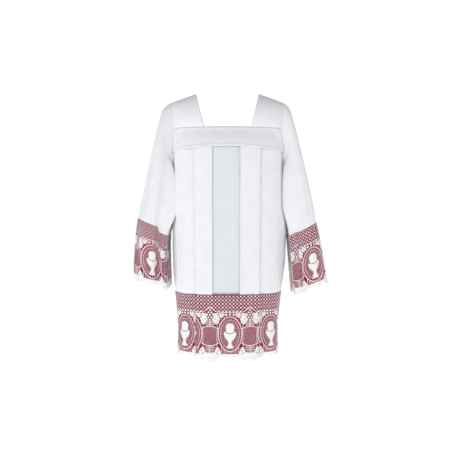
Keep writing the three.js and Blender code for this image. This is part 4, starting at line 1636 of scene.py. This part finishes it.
        # Cuts every few millimetres let the fills bend with the cloth.
        for normal, start, end in (((1, 0, 0), -66.0, 66.0), ((0, 1, 0), 54.0, 228.0)):
            for at in np.arange(start, end, self.cut_step):
                geom = bm.verts[:] + bm.edges[:] + bm.faces[:]
                bmesh.ops.bisect_plane(bm, geom=geom, plane_co=[n * at for n in normal], plane_no=normal)
        # Cords are marked so that they take the painted pink of the lining's red light.
        cord = bm.verts.layers.float.new("cord")
        filled = len(bm.verts)
        bm.from_mesh(self.cords_mesh())
        bm.verts.ensure_lookup_table()
        for vertex in bm.verts[filled:]:
            vertex[cord] = 1.0
        bmesh.ops.triangulate(bm, faces=[f for f in bm.faces if len(f.verts) > 4])
        mesh = bpy.data.meshes.new("lace_repeat")
        bm.to_mesh(mesh)
        bm.free()
        log.info("lace repeat: %d faces", len(mesh.polygons))
        return mesh


@dataclass
class LaceBand:
    """Lace laid over a lining, from repeats of one flat mesh."""

    repeat: bpy.types.Mesh
    material: bpy.types.Material

    def build(
        self, node: str, chart: Chart, zero: float, stretches: Iterable[tuple[float, float]], pitch: float,
    ) -> bpy.types.Object:
        """Builds the visible stretches of a band.

        Args:
            node: the CAD node that it stands for.
            chart: the lining's surface.
            zero: distance along the chart of one medallion's axis.
            stretches: visible ranges of distances along the chart.
            pitch: length of one repeat along the chart.

        Returns:
            The lace piece.
        """
        band = bmesh.new()
        for start, end in stretches:
            first = math.floor((start - zero) / pitch + 0.5)
            last = math.ceil((end - zero) / pitch - 0.5)
            for k in range(first, last + 1):
                part = bmesh.new()
                part.from_mesh(self.repeat)
                axis = zero + k * pitch
                bmesh.ops.scale(part, vec=(pitch / PITCH, 1, 1), verts=part.verts)
                bmesh.ops.translate(part, vec=(axis, 0, 0), verts=part.verts)
                for at, way in ((start, -1), (end, 1)):
                    if not axis - pitch / 2 - 3 < at < axis + pitch / 2 + 3:
                        continue
                    geom = part.verts[:] + part.edges[:] + part.faces[:]
                    bmesh.ops.bisect_plane(
                        part, geom=geom, plane_co=(at, 0, 0), plane_no=(way, 0, 0), clear_outer=True,
                    )
                holder = bpy.data.meshes.new("part")
                part.to_mesh(holder)
                part.free()
                band.from_mesh(holder)
                bpy.data.meshes.remove(holder)
        flat = np.array([v.co[:] for v in band.verts])
        flat[:, 2] += LACE_LIFT
        for vertex, place in zip(band.verts, chart.lift(flat) * MM):
            vertex.co = place
        bmesh.ops.recalc_face_normals(band, faces=band.faces)
        piece = new_piece(f"{node}_thread", band, self.material)
        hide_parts(node)
        return piece


@dataclass
class Hem:
    """Red lining and lace of the body's hem."""

    red: bpy.types.Material
    lace: LaceBand
    length: float = 241.0
    row_step: float = 9.0
    step: float = 4.0
    axis_front: float = 9.0
    axis_back: float = -12.0
    tuck: float = 4.0  # the lace runs this far on under a pleat
    lining_drop: float = 4.0  # the lining's rolled edge
    lining_rows: int = 14
    centre_half: float = 60.0  # reach of the centre, where a medallion's axis is found

    def path(self, ring: HalfRing, counts: Sequence[int] | None = None) -> Path:
        """Path of lace and lining on a ring, which keeps the folds' places at the seam."""
        return pleated_path(ring, HEM_SEAM, (0.0, ring.length), self.step, True, counts)

    def seam_path(self, face: Face) -> Path:
        """The path at the seam, whose counts of steps every other row takes."""
        return self.path(HalfRing.at(HEM_SEAM, face))

    def rows(self, face: Face, downs: Sequence[float], lift: float) -> np.ndarray:
        """Points of the lining's path.

        Args:
            face: front or back.
            downs: distances below the seam.
            lift: how far the points are moved to the cloth's right side.

        Returns:
            Rows x columns x 3 points in millimetres.
        """
        counts = self.seam_path(face).counts
        rows = []
        for down in downs:
            ring = HalfRing.at(HEM_SEAM - float(down), face)
            flat = self.path(ring, counts).offset(ring, lift)
            rows.append(np.column_stack([flat, np.full(len(flat), HEM_SEAM - float(down))]))
        return np.stack(rows)

    def lining(self, face: Face) -> bpy.types.Object:
        """Pleated red lining of one face.

        Args:
            face: front or back.

        Returns:
            The piece.
        """
        downs = np.linspace(0, LINING_LENGTH + self.lining_drop, self.lining_rows)
        rows = self.rows(face, downs, 0.0)
        return grid_piece(
            f"hem_lining_{face.name.lower()}", rows, self.red, LINING, -face.value,
        )

    def lace_piece(self, face: Face) -> bpy.types.Object:
        """Lace of one face, on the visible stretches of its folds.

        Args:
            face: front or back.

        Returns:
            The piece.
        """
        downs = np.arange(0, self.length, self.row_step)
        points = self.rows(face, downs, 0.0)
        right_side = self.rows(face, downs, 1.0) - points
        middle = points[len(downs) // 2]
        along = distances(middle)
        chart = Chart(along, downs, points, right_side)
        stops = self.seam_path(face).stops
        shown = stops[:, 4] > 0
        axis_x = self.axis_front if face is Face.FRONT else self.axis_back
        near = np.abs(middle[:, 0]) < self.centre_half
        on_face = np.where(shown & (stops[:, 1] == FACE) & near)[0]
        zero = float(np.interp(axis_x, middle[on_face, 0], along[on_face]))
        edges = np.flatnonzero(np.diff([0, *shown.astype(int), 0]))
        stretches = [
            (max(along[0], along[a] - self.tuck), min(along[-1], along[b - 1] + self.tuck))
            for a, b in zip(edges[::2], edges[1::2])
        ]
        return self.lace.build(f"hem_lace_{face.name.lower()}", chart, zero, stretches, PITCH)

    def build(self) -> list[bpy.types.Object]:
        """Builds lining and lace, front and back."""
        return [make(face) for make in (self.lining, self.lace_piece) for face in Face]


@dataclass
class Cuff:
    """Lace of one cuff, in a front and a back half."""

    sleeve: Sleeve
    lace: LaceBand
    axis_degrees: int  # where the front medallion's axis lies, from the outer point over the front
    repeats: int = 4

    def build(self) -> list[bpy.types.Object]:
        """Builds both halves of the cuff's lace.

        Returns:
            The pieces.
        """
        chart = self.sleeve.cuff_chart()
        total = float(chart.along[-1])
        half = float(chart.along[len(chart.along) // 2])
        zero = float(chart.along[self.axis_degrees])
        pieces = []
        for name, stretch in (("front", (0.0, half)), ("back", (half, total))):
            node = f"cuff_lace_{self.sleeve.name}_{name}"
            pieces.append(self.lace.build(node, chart, zero, [stretch], total / self.repeats))
        return pieces


# ------------------------------------------------------------------ sheets
@dataclass(frozen=True)
class Sheet:
    """A piece of cloth as it was cut: flat size in metres, flat area, hold, carriers and trim."""

    piece: str
    width: float
    length: float
    area: float
    held: str
    carriers: tuple[str, ...] = ()
    trim: tuple[str, ...] = ()

    def declare(self) -> None:
        list(self.carriers)
        list(self.trim)


SHOULDERS = ("shoulder_right_cloth", "shoulder_left_cloth")
SHEETS = (
    Sheet("shoulder_right_cloth", 0.120, 0.366, 0.0326, "draped"),
    Sheet("shoulder_left_cloth", 0.120, 0.366, 0.0326, "draped"),
    Sheet("front_yoke_cloth", 0.443, 0.088, 0.0347, "hung", SHOULDERS),
    Sheet("back_yoke_cloth", 0.433, 0.088, 0.0336, "hung", SHOULDERS),
    Sheet("front_panel_cloth", 0.944, 0.531, 0.471, "hung", ("front_yoke_cloth",)),
    Sheet("back_panel_cloth", 0.939, 0.531, 0.469, "hung", ("back_yoke_cloth",)),
    Sheet("sleeve_right_cloth", 0.661, 0.455, 0.176, "hung", ("shoulder_right_cloth",)),
    Sheet("sleeve_left_cloth", 0.655, 0.464, 0.170, "hung", ("shoulder_left_cloth",)),
    Sheet(
        "hem_lining_front_cloth", 0.953, 0.205, 0.193, "hung",
        ("front_panel_cloth",), ("hem_lace_front_thread",),
    ),
    Sheet(
        "hem_lining_back_cloth", 0.952, 0.205, 0.192, "hung",
        ("back_panel_cloth",), ("hem_lace_back_thread",),
    ),
    Sheet(
        "cuff_lining_right_cloth", 0.572, 0.196, 0.102, "hung", ("sleeve_right_cloth",),
        ("cuff_lace_right_front_thread", "cuff_lace_right_back_thread"),
    ),
    Sheet(
        "cuff_lining_left_cloth", 0.557, 0.199, 0.104, "hung", ("sleeve_left_cloth",),
        ("cuff_lace_left_front_thread", "cuff_lace_left_back_thread"),
    ),
)


# ------------------------------------------------------------------- stage
@dataclass(frozen=True)
class Lamp:
    """A soft square light: its place, what it faces, its size in metres and its power in watts."""

    name: str
    place: tuple[float, float, float]
    target: tuple[float, float, float]
    size: float
    power: float

    def build(self) -> None:
        """Hangs the light and turns it to its target."""
        data = bpy.data.lights.new(self.name, "AREA")
        data.size = self.size
        data.energy = self.power
        lamp = bpy.data.objects.new(self.name, data)
        lamp.location = self.place
        aim = Vector(self.target) - Vector(self.place)
        lamp.rotation_euler = aim.to_track_quat("-Z", "Y").to_euler()
        bpy.context.scene.collection.objects.link(lamp)


LAMPS = (
    Lamp("key", (-1.9, -2.0, 0.1), (0.0, 0.0, -0.4), 1.2, 17),
    Lamp("fill", (2.0, -1.9, 0.1), (0.0, 0.0, -0.5), 2.4, 9),
    Lamp("back", (1.2, 2.4, 0.7), (0.0, 0.0, -0.4), 1.4, 15),
)


@dataclass
class Studio:
    """Pale floor, soft lights and the camera, in metres."""

    sensor: float = 36.0  # width of the camera's sensor, in millimetres
    camera_distance: float = 2.0
    view_width: float = 1.695
    axis_x: float = 0.0055
    axis_z: float = -0.464
    shift_y: float = -0.0197
    floor_z: float = -1.6
    floor_half: float = 9.0
    floor_grey: float = 0.95
    floor_glow: float = 0.8
    ambient: float = 0.78  # light from the horizon
    zenith: float = 0.1  # light from straight above
    backdrop: float = 1.05  # the surroundings as the camera sees them

    def build(self) -> None:
        """Builds camera, floor, world and lights."""
        self.camera()
        self.floor()
        self.world()
        for lamp in LAMPS:
            lamp.build()

    def camera(self) -> None:
        """Level camera in front of the garment."""
        data = bpy.data.cameras.new("camera")
        data.sensor_width = self.sensor
        data.sensor_fit = "HORIZONTAL"
        data.lens = self.sensor * self.camera_distance / self.view_width
        data.shift_y = self.shift_y
        camera = bpy.data.objects.new("camera", data)
        camera.location = (self.axis_x, -self.camera_distance, self.axis_z)
        camera.rotation_euler = (math.radians(90), 0, 0)
        bpy.context.scene.collection.objects.link(camera)
        bpy.context.scene.camera = camera

    def floor(self) -> None:
        """Pale floor far below the hem."""
        bm = bmesh.new()
        bmesh.ops.create_grid(bm, x_segments=2, y_segments=2, size=self.floor_half)
        bmesh.ops.translate(bm, vec=(0, 0, self.floor_z), verts=bm.verts)
        mesh = bpy.data.meshes.new("floor")
        bm.to_mesh(mesh)
        bm.free()
        finish = Finish("pale_floor")
        finish.feed(finish.shader, {
            "Base Color": (self.floor_grey, self.floor_grey, self.floor_grey, 1),
            "Roughness": 0.9,
            "Emission Color": (1, 1, 1, 1),
            "Emission Strength": self.floor_glow,
        })
        mesh.materials.append(finish.material)
        floor = bpy.data.objects.new("floor", mesh)
        bpy.context.scene.collection.objects.link(floor)

    def world(self) -> None:
        """White surroundings, darker overhead and even to the camera."""
        world = bpy.data.worlds.new("studio")
        world.use_nodes = True
        nodes, links = world.node_tree.nodes, world.node_tree.links
        background = nodes["Background"]
        background.inputs["Color"].default_value = (1, 1, 1, 1)
        place = nodes.new("ShaderNodeTexCoord")
        height = nodes.new("ShaderNodeSeparateXYZ")
        sky = nodes.new("ShaderNodeMapRange")
        sky.inputs["From Min"].default_value = 0.0
        sky.inputs["To Min"].default_value = self.ambient
        sky.inputs["To Max"].default_value = self.zenith
        links.new(place.outputs["Generated"], height.inputs["Vector"])
        links.new(height.outputs["Z"], sky.inputs["Value"])
        strength = nodes.new("ShaderNodeMapRange")
        links.new(sky.outputs["Result"], strength.inputs["To Min"])
        strength.inputs["To Max"].default_value = self.backdrop
        links.new(nodes.new("ShaderNodeLightPath").outputs["Is Camera Ray"], strength.inputs["Value"])
        links.new(strength.outputs["Result"], background.inputs["Strength"])
        bpy.context.scene.world = world
        bpy.context.scene.view_settings.view_transform = "Standard"


CUFF_AXIS = {Side.RIGHT: 98, Side.LEFT: 80}  # degrees from a sleeve's outer point to its front medallion


def main() -> None:
    """Builds the surplice piece by piece and reports each one."""
    logging.basicConfig(level=logging.INFO, format="%(message)s")
    Studio().build()
    white, red, thread = (finish.material() for finish in (WHITE_CLOTH, RED_LINING, LACE_THREAD))
    WhiteBody(white, thread).build()
    lace = LaceBand(LaceRepeat().flat_mesh(), thread)
    Hem(red, lace).build()
    for side, axis in CUFF_AXIS.items():
        sleeve = Sleeve(side, white, red)
        sleeve.sleeve()
        sleeve.lining()
        Cuff(sleeve, lace, axis).build()
    for sheet in SHEETS:
        sheet.declare()


if __name__ == "__main__":
    main()
